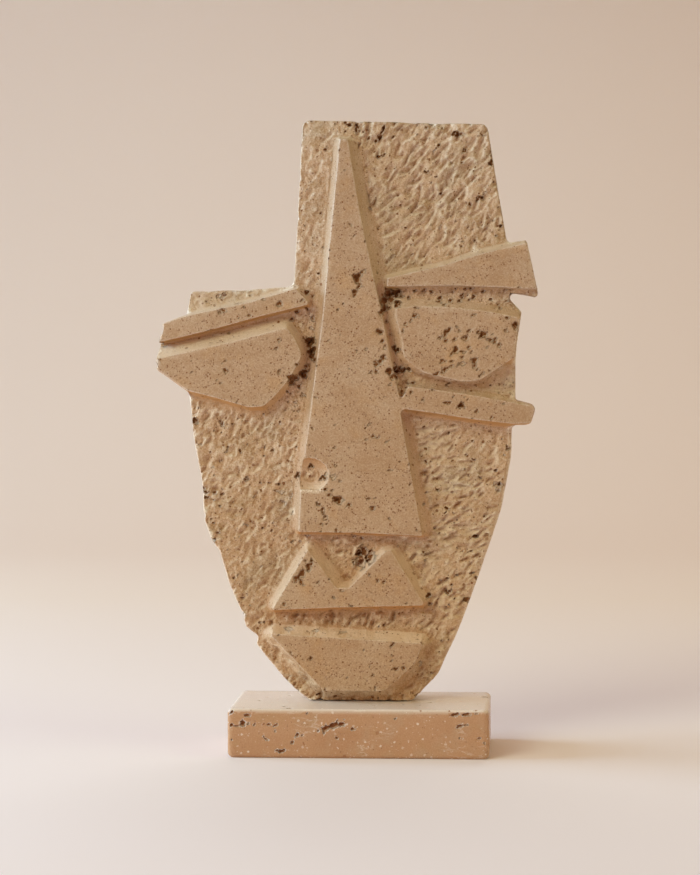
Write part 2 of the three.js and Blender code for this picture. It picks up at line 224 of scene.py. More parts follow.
LEFT_OF_NOSE_PITS = [
    (307, 366, 4, 3, 60, 0.8), (299, 365, 3, 2.4, 0, 0.7), (288, 391, 3, 2.4, 0, 0.7),
    (296, 402, 3, 2.2, 0, 0.6),
]
SHOULDER_PITS = [
    (222, 297, 10, 4, 10, 0.5), (224, 311, 8, 3.4, 20, 0.7), (282, 304, 5, 4, 0, 0.8),
    (307, 293, 5, 4, 0, 0.8), (303, 301.5, 4.4, 2.2, 20, 0.8), (313, 297, 3, 2.6, 0, 0.7),
    (292, 319, 4.4, 3.6, 0, 0.9), (230, 333, 3, 2.2, 0, 0.6), (251, 296, 3, 2, 0, 0.6),
    (266, 300, 3, 2, 0, 0.6), (207, 302, 3, 2, 0, 0.6), (240, 304, 4, 2, 15, 0.6),
    (298, 312, 4, 3, 0, 0.8), (308, 309, 4, 3, 0, 0.8),
]
LEFT_EYE_PITS = [
    (226, 371, 6.5, 2.4, -40, 0.8), (277, 348, 3.2, 2.6, 0, 0.9), (279, 340, 4, 1.8, -35, 0.8),
    (279, 372, 3, 2.6, 0, 0.8),
]
RIGHT_EYE_PITS = [
    (416, 308, 4, 2, -50, 0.9), (414, 316, 5, 2.2, -60, 0.9), (411, 321, 4.4, 2, 60, 0.8),
    (405, 324, 3.4, 2, 0, 0.8), (403, 331, 3, 2.4, 0, 0.8), (448, 331, 7, 3.6, 20, 1),
    (445, 335, 4.6, 3, 70, 0.9), (440, 337.5, 5, 2.2, 20, 0.9), (446, 341, 3, 2.4, 0, 0.9),
    (455, 339, 3.4, 2.8, 0, 0.9), (456, 350, 7, 4.4, 75, 1), (463, 352, 4.4, 2, 0, 0.9),
    (462, 357, 3.2, 2.6, 0, 0.9), (452, 354, 4.4, 2, 60, 0.8), (443, 361, 8, 2.4, 15, 0.8),
    (452, 361, 3, 2.6, 0, 0.9), (452, 366, 3, 2.4, 0, 0.8), (462, 364, 4, 3, 0, 0.6),
    (443, 371, 5, 3, 25, 0.9), (436.5, 374, 7, 2.2, 25, 0.8), (447, 369, 5, 2, 0, 0.7),
    (466, 338, 7, 4.6, 20, 0.7), (469, 331, 3.4, 2.6, 0, 0.8), (483, 334, 7.5, 4.4, 30, 1),
    (479, 332, 4, 3, 0, 0.8), (491, 340, 4.4, 3.6, 0, 0.9), (495, 342, 3.6, 3, 0, 0.8),
    (499, 345, 4, 3, 40, 0.8), (496, 338, 3.4, 2.6, 0, 0.8), (475, 360, 6, 4, 60, 0.9),
    (475, 366, 4.6, 3.4, 60, 0.8), (477, 369.5, 3, 2.6, 0, 0.8), (483, 373, 3.2, 2.2, 0, 0.7),
    (515, 326, 7, 4.4, 80, 0.9), (507, 318, 3.2, 2.8, 0, 0.9), (506, 331, 4, 2.2, 0, 0.8),
    (474, 315, 6, 1.8, 30, 0.7), (487, 347, 3, 2.2, 40, 0.7), (469, 347, 3, 2.2, 0, 0.8),
    (459, 331, 3, 2.2, -30, 0.8), (471, 352, 3.4, 2.4, 60, 0.8),
]
BAR_PITS = [
    (448, 403, 6.4, 2.2, 0, 0.9), (461, 405.5, 6.5, 4.6, 0, 1), (477, 412, 3.4, 2.2, 0, 0.8),
    (492, 417, 4.2, 2, 90, 0.8), (411, 392, 3.2, 2.6, 0, 0.9),
]
NOSE_TOP_PITS_MM = [
    (-1.5, 293, 5.5, 4, 75, 1), (0, 287.5, 3, 2, 60, 0.9), (-2.5, 283.5, 4, 2.2, 70, 0.9),
    (2, 296.5, 3, 1.8, 20, 0.9),
]
NOSE_PITS = [
    (381, 332, 3, 2.6, 0, 0.8), (384.7, 346, 3.4, 2.4, 70, 0.8), (373, 436, 3.4, 2.6, 0, 0.9),
    (377, 438, 3, 2.2, 0, 0.8), (335.5, 465.5, 3, 2, 0, 0.7), (333, 477.5, 6, 5, 0, 0.3),
    (322, 478, 8, 4, 0, 0.8), (326, 474, 4, 3, 0, 0.6), (310, 466, 5, 4, 0, 0.8),
    (326, 490, 3.4, 2.6, 0, 0.9), (332, 490.5, 3.4, 2.4, 0, 0.9), (339, 499, 6.5, 4.4, 0, 1),
    (318, 504, 5, 2.6, -30, 0.8), (324, 515.5, 8, 2.2, -50, 0.8), (327, 519.5, 3, 2.4, 0, 0.8),
    (336.5, 531, 4, 1.8, 90, 0.7), (373, 508, 5, 3, 70, 0.9), (390, 470, 4, 1.6, -40, 0.7),
]
LIP_CORNER_PITS = [
    (306, 561, 3, 2.6, 0, 0.8),
]
LIP_HOLLOW_PITS_MM = [
    (-31.5, 115, 5.5, 3, 60, 0.9), (-36, 110, 6.5, 2.6, 50, 0.9), (-39.5, 107, 4.5, 2.4, 55, 0.8),
    (-36, 104.5, 5, 1.4, -60, 0.8),
]
LIP_PITS = [
    (377.5, 581, 3.2, 2.8, 0, 0.9), (384, 581.5, 3.2, 2.6, 0, 0.9), (342.5, 591, 4.4, 1.8, -15, 0.6),
]
CHIN_PITS = [
    (391.5, 645.5, 4.2, 2.8, 90, 0.9), (396, 669, 5.5, 2.6, 0, 0.9), (403.5, 668, 4, 2.6, 0, 0.8),
    (375, 688, 4, 2, 90, 0.8), (420, 665, 5, 1.6, 90, 0.6),
]
NOSE_EDGE_PITS_MM = [
    (18, 280, 10, 7, 60, 0.8), (22.5, 283, 7, 4, 20, 0.9), (15, 273.5, 5, 2.5, 60, 1),
    (24, 276.5, 4, 3, 80, 0.9), (13, 259.5, 3, 2.5, 0, 1), (22, 249, 5, 2.5, -40, 1),
    (15, 244, 3, 2.2, -40, 0.9), (13, 241.5, 2.5, 2, 0, 0.9), (11, 239.5, 2.5, 1.8, 60, 0.9),
    (10.5, 235, 3, 1.8, -60, 0.9), (18.5, 235, 4, 3, 20, 1), (23, 236, 4.5, 3.5, 0, 0.9),
    (26.5, 235.5, 4, 2.5, 20, 1), (30.5, 236.5, 3, 2.5, -20, 1), (21.5, 232, 5, 2.5, 0, 0.8),
    (33, 228, 3, 1.5, 20, 0.9), (-13.5, 155.5, 4, 2.5, -30, 1), (-18.5, 159, 2.5, 1.5, 30, 0.9),
    (-23, 150, 3, 1.8, 70, 0.9), (-21.5, 145.5, 3, 1.5, 80, 0.9), (-6.5, 153, 2.5, 2, 0, 0.9),
    (5.5, 157, 2, 1.5, 0, 0.8),
]

# The photo's frame, and the camera fitted to it: its place in metres and its turn in degrees.
PHOTO_WIDTH = 700
PHOTO_HEIGHT = 875
LENS_MM = 100
SENSOR_MM = 36
CAMERA_PLACE = (0.0981, -1.5078, 0.2519)
CAMERA_YAW = -3.98
CAMERA_DOWN = 2.187
CAMERA_ROLL = -0.201
yaw, down, roll = (math.radians(angle) for angle in (CAMERA_YAW, CAMERA_DOWN, CAMERA_ROLL))
forward = Vector((math.sin(yaw) * math.cos(down), math.cos(yaw) * math.cos(down), -math.sin(down)))
level = Vector((math.cos(yaw), -math.sin(yaw), 0))
upright = level.cross(forward)
right = level * math.cos(roll) + upright * math.sin(roll)
top = upright * math.cos(roll) - level * math.sin(roll)

# A pixel's size on the slab, the depths that pixels are cast at, and how many pits are strewn by chance.
PIXEL_MM = 0.6184
GROUND_VIEW_MM = -1.4
BAND_VIEW_MM = -8
LEAST_WIDTH_MM = 1
LONG_PIT_MM = 3
SMALL_PITS = 300
SMALL_SIZES_MM = (0.9, 1.5)
SIDE_PITS = 170
SIDE_SIZES_MM = (1.5, 6)
BACK_PITS = 220
BACK_SIZES_MM = (1.5, 7)
PIT_MARGIN_MM = 1.8
FINE_MARGIN_MM = 0.8
FINE_AREA_MM2 = 0.25


def seen_at(pits, depth_mm):
    """Casts rows in pixels on the plane at that depth, to the nearest half a millimetre."""
    rows = []
    for column, row, length, width, lean, strength in pits:
        ray = forward * (LENS_MM / SENSOR_MM * PHOTO_HEIGHT)
        ray += right * (column - PHOTO_WIDTH / 2) + top * (PHOTO_HEIGHT / 2 - row)
        away = (depth_mm * MM - CAMERA_PLACE[1]) / ray.y
        across = (CAMERA_PLACE[0] + ray.x * away) / MM
        up = (CAMERA_PLACE[2] + ray.z * away) / MM
        long = round(length * PIXEL_MM, 1)
        wide = max(round(width * PIXEL_MM, 1), LEAST_WIDTH_MM)
        rows.append((round(2 * across) / 2, round(2 * up) / 2, long, wide, lean, strength))
    return rows


def pits_on_front(rows, seed):
    """Where each pit starts, its two directions and its size. A long one is three that meet."""
    random = np.random.default_rng(seed)
    front = []
    for x, z, length, width, lean, strength in rows:
        turn = math.radians(lean)
        along = Vector((math.cos(turn), 0, math.sin(turn)))
        beside = Vector((math.sin(turn), 0, -math.cos(turn)))
        centre = Vector((x, FACE_DEPTH_MM, z))
        parts = [(0, 0, 1, 1)]
        if length > LONG_PIT_MM:
            bow = random.choice([-0.22, 0.22])
            parts = [(-0.24, bow, 0.6, 0.85), (0.04, -bow, 0.6, 0.8), (0.28, bow, 0.5, 0.85)]
        for onward, aside, long, wide in parts:
            place = centre + along * onward * length + beside * aside * width
            turned = (along + beside * random.normal(0, 0.3)).normalized()
            size = (long * length, wide * width)
            front.append((place * MM, turned, Vector((0, 1, 0)), *size, strength))
    return front


def settle(pits, form):
    """Moves each pit on the front to the depth of the stone's face there."""
    centres = KDTree(len(form.faces))
    form.faces.ensure_lookup_table()
    flat = [Vector((face.calc_center_median().x, 0, face.calc_center_median().z)) for face in form.faces]
    depth = [face.calc_center_median().y for face in form.faces]
    looks = [face.normal.y < -0.2 for face in form.faces]
    for index, centre in enumerate(flat):
        if looks[index]:
            centres.insert(centre, index)
    centres.balance()
    settled = []
    for place, along, inward, length, width, strength in pits:
        _, index, _ = centres.find(Vector((place.x, 0, place.z)))
        settled.append((Vector((place.x, depth[index], place.z)), along, inward, length, width, strength))
    return settled


def scattered_pits(form, chosen, count, sizes, seed):
    """Pits of random size and place on the chosen faces."""
    random = np.random.default_rng(seed)
    faces = [face for face in form.faces if chosen(face)]
    areas = np.array([face.calc_area() for face in faces])
    picks = random.choice(len(faces), count, p=areas / areas.sum())
    pits = []
    for pick in picks:
        face = faces[pick]
        inward = -face.normal
        level = inward.cross(Vector((0, 0, 1)))
        level = level.normalized() if level.length > 0.1 else Vector((1, 0, 0))
        turn = random.normal(0, 0.5)
        along = level * math.cos(turn) + inward.cross(level) * math.sin(turn)
        length = random.uniform(*sizes) * random.uniform(0.7, 1.3)
        width = length * random.uniform(0.45, 0.95)
        pits.append((face.calc_center_median(), along, inward, length, width, random.uniform(0.7, 1)))
    return pits


def refine(form, chosen):
    """Halves every edge of the chosen triangles."""
    edges = {edge for face in chosen for edge in face.edges}
    bmesh.ops.subdivide_edges(form, edges=list(edges), cuts=1)
    bmesh.ops.triangulate(form, faces=[face for face in form.faces if len(face.verts) > 3])
    form.normal_update()


def faces_near(form, pits, margin):
    """The faces that lie in or just round a pit."""
    form.faces.ensure_lookup_table()
    centres = KDTree(len(form.faces))
    for index, face in enumerate(form.faces):
        centres.insert(face.calc_center_median(), index)
    centres.balance()
    near = set()
    for place, along, inward, length, width, _ in pits:
        across = inward.cross(along)
        for spot, index, _ in centres.find_range(place, (length / 2 + margin) * MM):
            offset = spot - place
            if abs(offset.dot(across)) < (width / 2 + margin) * MM and abs(offset.dot(inward)) < 1.5 * MM:
                near.add(form.faces[index])
    return near


pit_rows = [
    *seen_at(CROWN_PITS + LEFT_CHEEK_PITS + RIGHT_CHEEK_PITS, GROUND_VIEW_MM), *CHIN_HOLLOW_PITS_MM,
    *seen_at(CHIN_GROUND_PITS, GROUND_VIEW_MM), *seen_at(RIGHT_BAND_PITS, BAND_VIEW_MM),
    *seen_at(RIGHT_OF_NOSE_PITS, GROUND_VIEW_MM), *LEFT_OF_NOSE_PITS_MM,
    *seen_at(LEFT_OF_NOSE_PITS + SHOULDER_PITS, GROUND_VIEW_MM),
    *seen_at(LEFT_EYE_PITS + RIGHT_EYE_PITS + BAR_PITS, FACE_DEPTH_MM), *NOSE_TOP_PITS_MM,
    *seen_at(NOSE_PITS + LIP_CORNER_PITS, FACE_DEPTH_MM), *LIP_HOLLOW_PITS_MM,
    *seen_at(LIP_PITS + CHIN_PITS, FACE_DEPTH_MM), *NOSE_EDGE_PITS_MM,
]
photo_pits = settle(pits_on_front(pit_rows, 2), mask_form)
small_pits = scattered_pits(
    mask_form, lambda face: face.normal.y < FACES_FRONT, SMALL_PITS, SMALL_SIZES_MM, 3
)
side_pits = scattered_pits(mask_form, lambda face: abs(face.normal.y) < 0.1, SIDE_PITS, SIDE_SIZES_MM, 4)
back_pits = scattered_pits(mask_form, is_back, BACK_PITS, BACK_SIZES_MM, 5)
mask_pits = photo_pits + small_pits + side_pits + back_pits

coarse = {face for face in mask_form.faces if is_tooled(face) or is_groove(face)}
coarse |= faces_near(mask_form, mask_pits, PIT_MARGIN_MM)
refine(mask_form, coarse)
closest = faces_near(mask_form, photo_pits + small_pits, FINE_MARGIN_MM)
refine(mask_form, [face for face in closest if face.calc_area() > FINE_AREA_MM2 * MM * MM])


# The tool marks
# The ground was dressed with a point and a flat chisel, in short overlapping strokes that turn with the
# form. Each row is one part of the ground: across, up, lean of the strokes, their length, width and
# depth, and how far the deepest line lies off a stroke's middle, towards the right or the foot.
STROKES = [
    (-30, 370, 70, 9, 3.6, 0.7, 0.3), (-28, 320, 72, 8, 3.4, 0.6, 0.3), (-30, 270, 70, 7, 3.2, 0.6, 0.3),
    (10, 375, 62, 13, 4.4, 1.2, 0.5), (35, 375, 48, 14, 4.8, 1.3, 0.5), (65, 370, 52, 9, 4.2, 1.1, 0.4),
    (20, 345, 45, 13, 4.6, 1.1, 0.5), (50, 345, 58, 12, 4.8, 1.4, 0.5), (78, 340, 62, 8, 3.8, 0.9, 0.4),
    (25, 315, 40, 12, 4.4, 0.9, 0.5), (50, 318, 60, 11, 4.2, 1.1, 0.5), (80, 310, 66, 7, 3.4, 0.8, 0.4),
    (20, 290, 45, 9, 4, 0.7, 0.4), (45, 295, 50, 8, 3.6, 0.8, 0.4), (-90, 280, 20, 6, 4, 0.3, 0.3),
    (-60, 282, 20, 6, 4, 0.3, 0.3), (-95, 205, 62, 7, 3.8, 1, 0.4), (-75, 195, 62, 8, 3.8, 1, 0.4),
    (-55, 190, 60, 8, 3.6, 0.9, 0.4), (-90, 170, 55, 7, 4, 0.9, 0.3), (-65, 165, 55, 7, 4.2, 0.8, 0.3),
    (-80, 135, 50, 6, 4, 0.8, 0.3), (-55, 135, 50, 6, 4, 0.7, 0.3), (-65, 100, 58, 7, 3.6, 0.8, 0.3),
    (45, 195, 14, 12, 3.4, 1.5, -0.45), (75, 195, 50, 7, 3.8, 0.7, 0.2), (92, 180, 60, 6, 3.6, 0.6, 0.2),
    (50, 165, 14, 12, 3.6, 1.6, -0.45), (80, 165, 30, 8, 3.6, 1.4, -0.3),
    (52, 135, 14, 10, 3.6, 1.6, -0.45), (80, 135, 18, 10, 3.6, 1.5, -0.4),
    (65, 105, 36, 10, 3.6, 1.5, -0.4), (50, 85, 40, 9, 3.6, 1.4, -0.3), (45, 60, 55, 8, 3.6, 1.1, 0.2),
    (-5, 80, 66, 10, 3.8, 1.7, 0.4), (-35, 78, 66, 10, 3.8, 1.7, 0.4), (-10, 125, 30, 7, 3.8, 1.4, 0.3),
    (60, 225, 35, 6, 2.4, 0.5, 0.2), (60, 280, 40, 5, 3, 0.8, 0.3),
]
LONG_COVER = 0.8
LONG_SIZES = (0.6, 1.2)
LONG_SPREAD = 18
SHORT_COVER = 1.2
SHORT_SIZES = (0.3, 0.6)
SHORT_SPREAD = 24
GRID_MARGIN_MM = 2
CELL_MM = 0.35
FOOT_FADE_MM = 1.8
CHIN_TOP_MM = 72


def cloud(places, grain, seed):
    """Smooth noise from -1 to 1 at each place, with features about one grain across."""
    lattice = np.random.default_rng(seed).uniform(-1, 1, (32, 32, 32))
    cell = np.floor(places / grain).astype(int)
    share = places / grain - cell
    share = share * share * (3 - 2 * share)
    total = np.zeros(len(places))
    for corner in np.ndindex(2, 2, 2):
        weight = np.prod(np.where(corner, share, 1 - share), axis=1)
        x, y, z = ((cell + corner) % 32).T
        total += weight * lattice[x, y, z]
    return total


def soften(grid):
    """Evens out a grid with its four neighbours."""
    padded = np.pad(grid, 1, mode="edge")
    sides = padded[:-2, 1:-1] + padded[2:, 1:-1] + padded[1:-1, :-2] + padded[1:-1, 2:]
    return grid * 0.4 + sides * 0.15


def struck_ground(seed, cover, sizes, spread):
    """How deep the strokes go below the ground, and how pale their steep flanks are: broken stone and
    painted highlight, where they face the light.
    """
    random = np.random.default_rng(seed)
    guides = np.array(STROKES, float)
    across_cells = np.arange(low[0] - GRID_MARGIN_MM, high[0] + GRID_MARGIN_MM, CELL_MM)
    up_cells = np.arange(low[2] - GRID_MARGIN_MM, high[2] + GRID_MARGIN_MM, CELL_MM)
    depth = np.zeros((len(across_cells), len(up_cells)))
    fresh_and_lit = np.zeros_like(depth)
    mean_area = 0.785 * np.mean(guides[:, 3] * guides[:, 4]) * np.mean(sizes) ** 2
    count = int(cover * (high[0] - low[0]) * (high[2] - low[2]) / mean_area)
    for _ in range(count):
        x = random.uniform(low[0], high[0])
        z = random.uniform(low[2], high[2])
        apart = np.hypot(guides[:, 0] - x, guides[:, 1] - z) + 4
        near = apart ** -3
        lean, length, width, deep, skew = (near @ guides[:, 2:]) / near.sum()
        turn = math.radians(lean + random.normal(0, spread))
        size = random.uniform(*sizes)
        length *= size * random.uniform(0.7, 1.3)
        width *= size * random.uniform(0.8, 1.25)
        deep *= size * random.uniform(0.6, 1.7)
        reach = int((length / 2 + 1) / CELL_MM)
        column = int((x - across_cells[0]) / CELL_MM)
        row = int((z - up_cells[0]) / CELL_MM)
        columns = slice(max(column - reach, 0), column + reach + 1)
        rows = slice(max(row - reach, 0), row + reach + 1)
        dx = across_cells[columns, None] - x
        dz = up_cells[None, rows] - z
        along = (dx * math.cos(turn) + dz * math.sin(turn)) / (length / 2)
        beside = (dx * math.sin(turn) - dz * math.cos(turn)) / (width / 2)
        beside = (beside + random.uniform(-0.5, 0.5) * along ** 2) * (1 + 0.5 * along ** 2)
        fall = np.where(beside > skew, (1 - beside) / (1 - skew), (1 + beside) / (1 + skew))
        profile = deep * np.clip(fall, 0, 1) * np.clip((1 - np.abs(along)) / 0.55, 0, 1)
        wins = profile > depth[columns, rows]
        # The steep flank faces the light from the left: it is painted pale, as broken stone and as
        # highlight.
        broken = random.uniform(0, 1) * min(deep, 1.5) * (beside > skew)
        depth[columns, rows] = np.where(wins, profile, depth[columns, rows])
        fresh_and_lit[columns, rows] = np.where(wins, broken, fresh_and_lit[columns, rows])
    return depth, fresh_and_lit


def broken_facets(places, size, tilt, seed):
    """The height of small flat breaks, each with its own lean, where the stone split under the tool."""
    tables = np.random.default_rng(seed).uniform(-1, 1, (64, 64, 5))
    flat = places[:, [0, 2]]
    cell = np.floor(flat / size).astype(int)
    nearest = np.full(len(flat), np.inf)
    height = np.zeros(len(flat))
    for step in np.ndindex(3, 3):
        index = cell + np.array(step) - 1
        row = tables[index[:, 0] % 64, index[:, 1] % 64]
        offset = flat - (index + 0.5 + 0.45 * row[:, :2]) * size
        apart = (offset ** 2).sum(1)
        closer = apart < nearest
        nearest = np.where(closer, apart, nearest)
        lean = (offset * row[:, 3:]).sum(1) * tilt
        height = np.where(closer, 0.3 * size * tilt * row[:, 2] + lean, height)
    return height


def read_grid(grid, x, z):
    """The grid's value at each place, by straight lines between cells."""
    columns = np.clip((x - low[0] + GRID_MARGIN_MM) / CELL_MM, 0, grid.shape[0] - 1.001)
    rows = np.clip((z - low[2] + GRID_MARGIN_MM) / CELL_MM, 0, grid.shape[1] - 1.001)
    column, row = columns.astype(int), rows.astype(int)
    beside, above = columns - column, rows - row
    return (
        grid[column, row] * (1 - beside) * (1 - above) + grid[column + 1, row] * beside * (1 - above)
        + grid[column, row + 1] * (1 - beside) * above + grid[column + 1, row + 1] * beside * above
    )


def ease_in(values, start, end):
    """Nought below start, one above end, and smooth between."""
    share = np.clip((values - start) / (end - start), 0, 1)
    return share * share * (3 - 2 * share)


def band(values, start, full, fade, end):
    """One from full to fade, nought before the start and after the end, and smooth between."""
    return ease_in(values, start, full) * (1 - ease_in(values, fade, end))


def distances(places, marks):
    """How far each place lies from the nearest mark."""
    tree = KDTree(len(marks))
    for index, mark in enumerate(marks):
        tree.insert(mark, index)
    tree.balance()
    return np.array([tree.find(place)[2] for place in places])


def mesh_of(form, name):
    """Turns the form into a mesh of that name."""
    mesh = bpy.data.meshes.new(name)
    form.to_mesh(mesh)
    form.free()
    return mesh


def read_rows(items, name, kind=float):
    """Three numbers for each of a mesh's points or faces, such as its place or its normal."""
    values = np.empty(len(items) * 3, kind)
    items.foreach_get(name, values)
    return values.reshape(-1, 3)


mask_mesh = mesh_of(mask_form, "mask")
count = len(mask_mesh.vertices)
places = read_rows(mask_mesh.vertices, "co") / MM
corners = read_rows(mask_mesh.polygons, "vertices", int)
normals = read_rows(mask_mesh.polygons, "normal")
depths = places[corners, 1]
faces_front = normals[:, 1] < FACES_FRONT
middles = places[corners].mean(1)
plane_faces = faces_front & (depths.mean(1) < FACE_DEPTH_MM + 0.1)
tooled_faces = faces_front & (depths.mean(1) > FACE_DEPTH_MM + 4)
back_faces = normals[:, 1] > FACES_BACK
side_faces = np.abs(normals[:, 1]) < 0.05
rim_faces = ~faces_front & ~back_faces & ~side_faces & (depths.min(1) > GROUND_DEPTH_MM - 0.1)
wall_faces = ~(plane_faces | tooled_faces | back_faces | side_faces | rim_faces)


def touched(faces):
    """Which points belong to the given faces."""
    points = np.zeros(count, bool)
    points[corners[faces].ravel()] = True
    return points


on_plane, on_ground, on_back = touched(plane_faces), touched(tooled_faces), touched(back_faces)
on_side, on_rim, on_wall = touched(side_faces), touched(rim_faces), touched(wall_faces)
foot = on_ground & on_wall
arris = on_plane & (on_wall | on_side | on_rim)
outer_edge = (on_side & on_rim) | (on_side & on_back) | (on_side & on_plane)
from_foot = distances(places, places[foot])
from_arris = distances(places, places[arris])
from_edge = distances(places, places[outer_edge])

long_strokes, long_lit_breaks = struck_ground(11, LONG_COVER, LONG_SIZES, LONG_SPREAD)
short_strokes, short_lit_breaks = struck_ground(12, SHORT_COVER, SHORT_SIZES, SHORT_SPREAD)
struck = soften(long_strokes + 0.8 * short_strokes)
broken_and_lit = soften(np.maximum(long_lit_breaks, short_lit_breaks))
x, y, z = places.T
marks = read_grid(struck, x, z)
rough = 0.36 * cloud(places, 4.2, 22) + 0.3 * cloud(places, 2.3, 23) + 0.22 * cloud(places, 1.4, 24)
split = broken_facets(places, 4.6, 0.22, 25) + broken_facets(places, 2.2, 0.25, 26)
calm = ease_in(from_foot, 0, FOOT_FADE_MM)
crown = ease_in(z, 288, 305) * ease_in(x, -25, 5)
split *= 0.5 - 0.3 * crown
marks *= 1.55 + 0.7 * crown
ground_depth = calm * (marks + 0.7 + rough) + (0.35 + 0.65 * calm) * split
ground_share = np.where(on_ground, 1, np.where(on_rim | on_side, 1 - ease_in(y, GROUND_DEPTH_MM, 0), 0))
ground_share = np.where(on_wall & ~on_ground & ~on_rim, 0, ground_share)
ground_share = np.where(on_plane, 0, ground_share)
inward = np.zeros_like(places)
inward[:, 1] = ground_depth * ground_share

point_normals = read_rows(mask_mesh.vertices, "normal")
wall_wave = 0.16 * (1 + cloud(places, 5, 31)) + 0.09 * (1 + cloud(places, 2.2, 32))
wall_share = np.where(on_wall & ~on_plane & ~on_side, ease_in(from_arris, 0.2, 2), 0)
in_groove = ease_in(x, GROOVE_LEFT_MM, 25) * band(z, 208, 213, 236, 242) * ease_in(y, -13.5, -11)
chin_side = (z < CHIN_TOP_MM) & (point_normals[:, 2] < 0.5)
marked = np.where((point_normals[:, 2] > 0.25) | (z < CHIN_TOP_MM), 0.4, 0.12)
marked = np.maximum(marked, 0.6 * (1 - ease_in(from_foot, 0.3, 2.6)))
marked = np.maximum(marked, 0.9 * in_groove)
marked = np.maximum(marked, 0.85 * chin_side)
wall_depth = wall_share * (wall_wave + marked * (marks + 0.5 * rough + 0.6 * split))
inward -= point_normals * wall_depth[:, None]

side_wave = 0.3 * (1 + cloud(places, 14, 41)) + 0.16 * (1 + cloud(places, 4, 42))
side_wave += 0.08 * (1 + cloud(places, 1.8, 43))
level_normals = point_normals.copy()
level_normals[:, 1] = 0
level_normals /= np.maximum(np.linalg.norm(level_normals, axis=1), 1e-6)[:, None]
inward -= level_normals * (side_wave * on_side)[:, None]
back_wave = 0.1 * (1 + cloud(places, 25, 44)) + 0.05 * (1 + cloud(places * (1, 1, 5), 9, 45))
inward[:, 1] -= back_wave * on_back
plane_wave = 0.05 * (1 + cloud(places, 16, 46)) + 0.02 * (1 + cloud(places, 5, 47))
inward[:, 1] += plane_wave * on_plane


# The worn edges
# The chisel and the years have broken the arrises: they are soft everywhere, and chipped here and there.
# Each nick is a place on the outline: across, up, how far it reaches, and how deep it is.
ARRIS_REACH_MM = 0.8
CHIP_DEPTH_MM = 0.7
NICKS = [
    (-76, 286.5, 5, 1.2), (-95, 286.8, 4, 1), (-60, 287.2, 4, 1), (-108, 285, 3, 1), (-39.5, 330, 3, 0.7),
    (-38, 355, 3, 0.7), (33, 391.5, 6, 1), (-36, 391, 3, 0.8), (-99, 146, 4, 1), (-97, 160, 3, 0.8),
    (-74, 84, 4, 1), (-66, 69, 3, 1), (107, 240, 3, 1), (47, 391, 8, 1.2), (0, 391, 3, 1.6),
    (-70, 286, 6, 1.2), (-98, 235, 3, 0.8), (-125, 243, 2.5, 0.8), (-123, 262, 2.5, 0.8),
    (78, 391, 3, 0.8),
]


def smooth_points(points, share, rounds):
    """Draws each point towards the middle of its neighbours by its own share, a number of times."""
    pairs = np.vstack([corners[:, [0, 1]], corners[:, [1, 2]], corners[:, [2, 0]]])
    for _ in range(rounds):
        total = np.zeros_like(points)
        number = np.zeros(len(points))
        for a, b in ((0, 1), (1, 0)):
            for axis in range(3):
                total[:, axis] += np.bincount(pairs[:, a], points[pairs[:, b], axis], len(points))
            number += np.bincount(pairs[:, a], minlength=len(points))
        points = points + (total / number[:, None] - points) * share[:, None]
    return points


chip = ease_in(cloud(places, 3.4, 51) + 0.5 * cloud(places, 1.5, 52), 0.55, 1.0)
chip_reach = 1 - ease_in(from_arris, 0.2, 1.8)
inward[:, 1] += CHIP_DEPTH_MM * chip * chip_reach * (on_plane | on_wall)
carved = places + inward
bruised = np.zeros(count)
for nick_x, nick_z, reach, nick_depth in NICKS:
    near = np.hypot(x - nick_x, z - nick_z)
    bite = 1.7 * nick_depth * (1 - ease_in(near, 0, reach)) * (0.6 + 0.5 * cloud(places, 2, 53))
    bite *= (1 - ease_in(y, 2, 12)) * (on_side | on_rim | on_ground)
    carved -= level_normals * bite[:, None]
    bruised = np.maximum(bruised, bite)
wear = 0.5 * (1 - ease_in(from_arris, 0, ARRIS_REACH_MM)) * (0.7 + 0.3 * cloud(places, 6, 54))
wear = np.maximum(wear, 0.45 * (1 - ease_in(from_foot, 0, 2.6)))
wear = np.maximum(wear, 0.5 * (1 - ease_in(from_edge, 0, 1.5)))
carved = smooth_points(carved, wear, 2)


def press_pits(points, normals, pits):
    """Cuts each pit into the points.

    Gives how far inside a pit each point lies, 0.3 at its edge and one in the middle, and a painted
    shadow: the same share moved towards the pit's upper left, the side the light leaves in shade.
    """
    tree = KDTree(len(points))
    for index, point in enumerate(points):
        tree.insert(point, index)
    tree.balance()
    wobble = 0.5 * cloud(points, 1.6, 61) + 0.25 * cloud(points, 0.7, 62)
    pressed = points.copy()
    insides = np.zeros(len(points))
    pit_shadows = np.zeros(len(points))
    for place, along, inward_way, length, width, strength in pits:
        centre = place / MM
        across = inward_way.cross(along)
        near = [index for _, index, _ in tree.find_range(centre, length / 2 + 3)]
        if not near:
            continue
        offset = points[near] - np.array(centre)
        forward = offset @ np.array(along) / (length / 2)
        aside = offset @ np.array(across) / (width / 2)
        out = np.hypot(forward, aside) * (1 + wobble[near])
        faced = normals[near] @ np.array(inward_way) < -0.3
        inside = np.clip(1 - 0.7 * out, 0, 1) * faced
        share = ease_in(inside, 0.22, 0.6)
        lower = (offset[:, 0] - offset[:, 2]) / width
        # Painted shadow: strongest on the pit's upper left, the side in shade under light from the upper
        # left.
        pit_shadow = inside - 0.26 * lower * (inside > 0)
        deep = strength * min(0.4 + 0.62 * width, 2.4)
        pressed[near] += np.outer(share * deep, np.array(inward_way)) * (inside > insides[near])[:, None]
        insides[near] = np.maximum(insides[near], inside * (0.6 + 0.4 * strength))
        pit_shadows[near] = np.maximum(pit_shadows[near], pit_shadow * strength)
    return pressed, insides, pit_shadows


carved, pitted, pit_shadows = press_pits(carved, point_normals, mask_pits)
carved = np.clip(carved, low, high)
mask_mesh.vertices.foreach_set("co", (carved * MM).ravel())
mask_mesh.update()

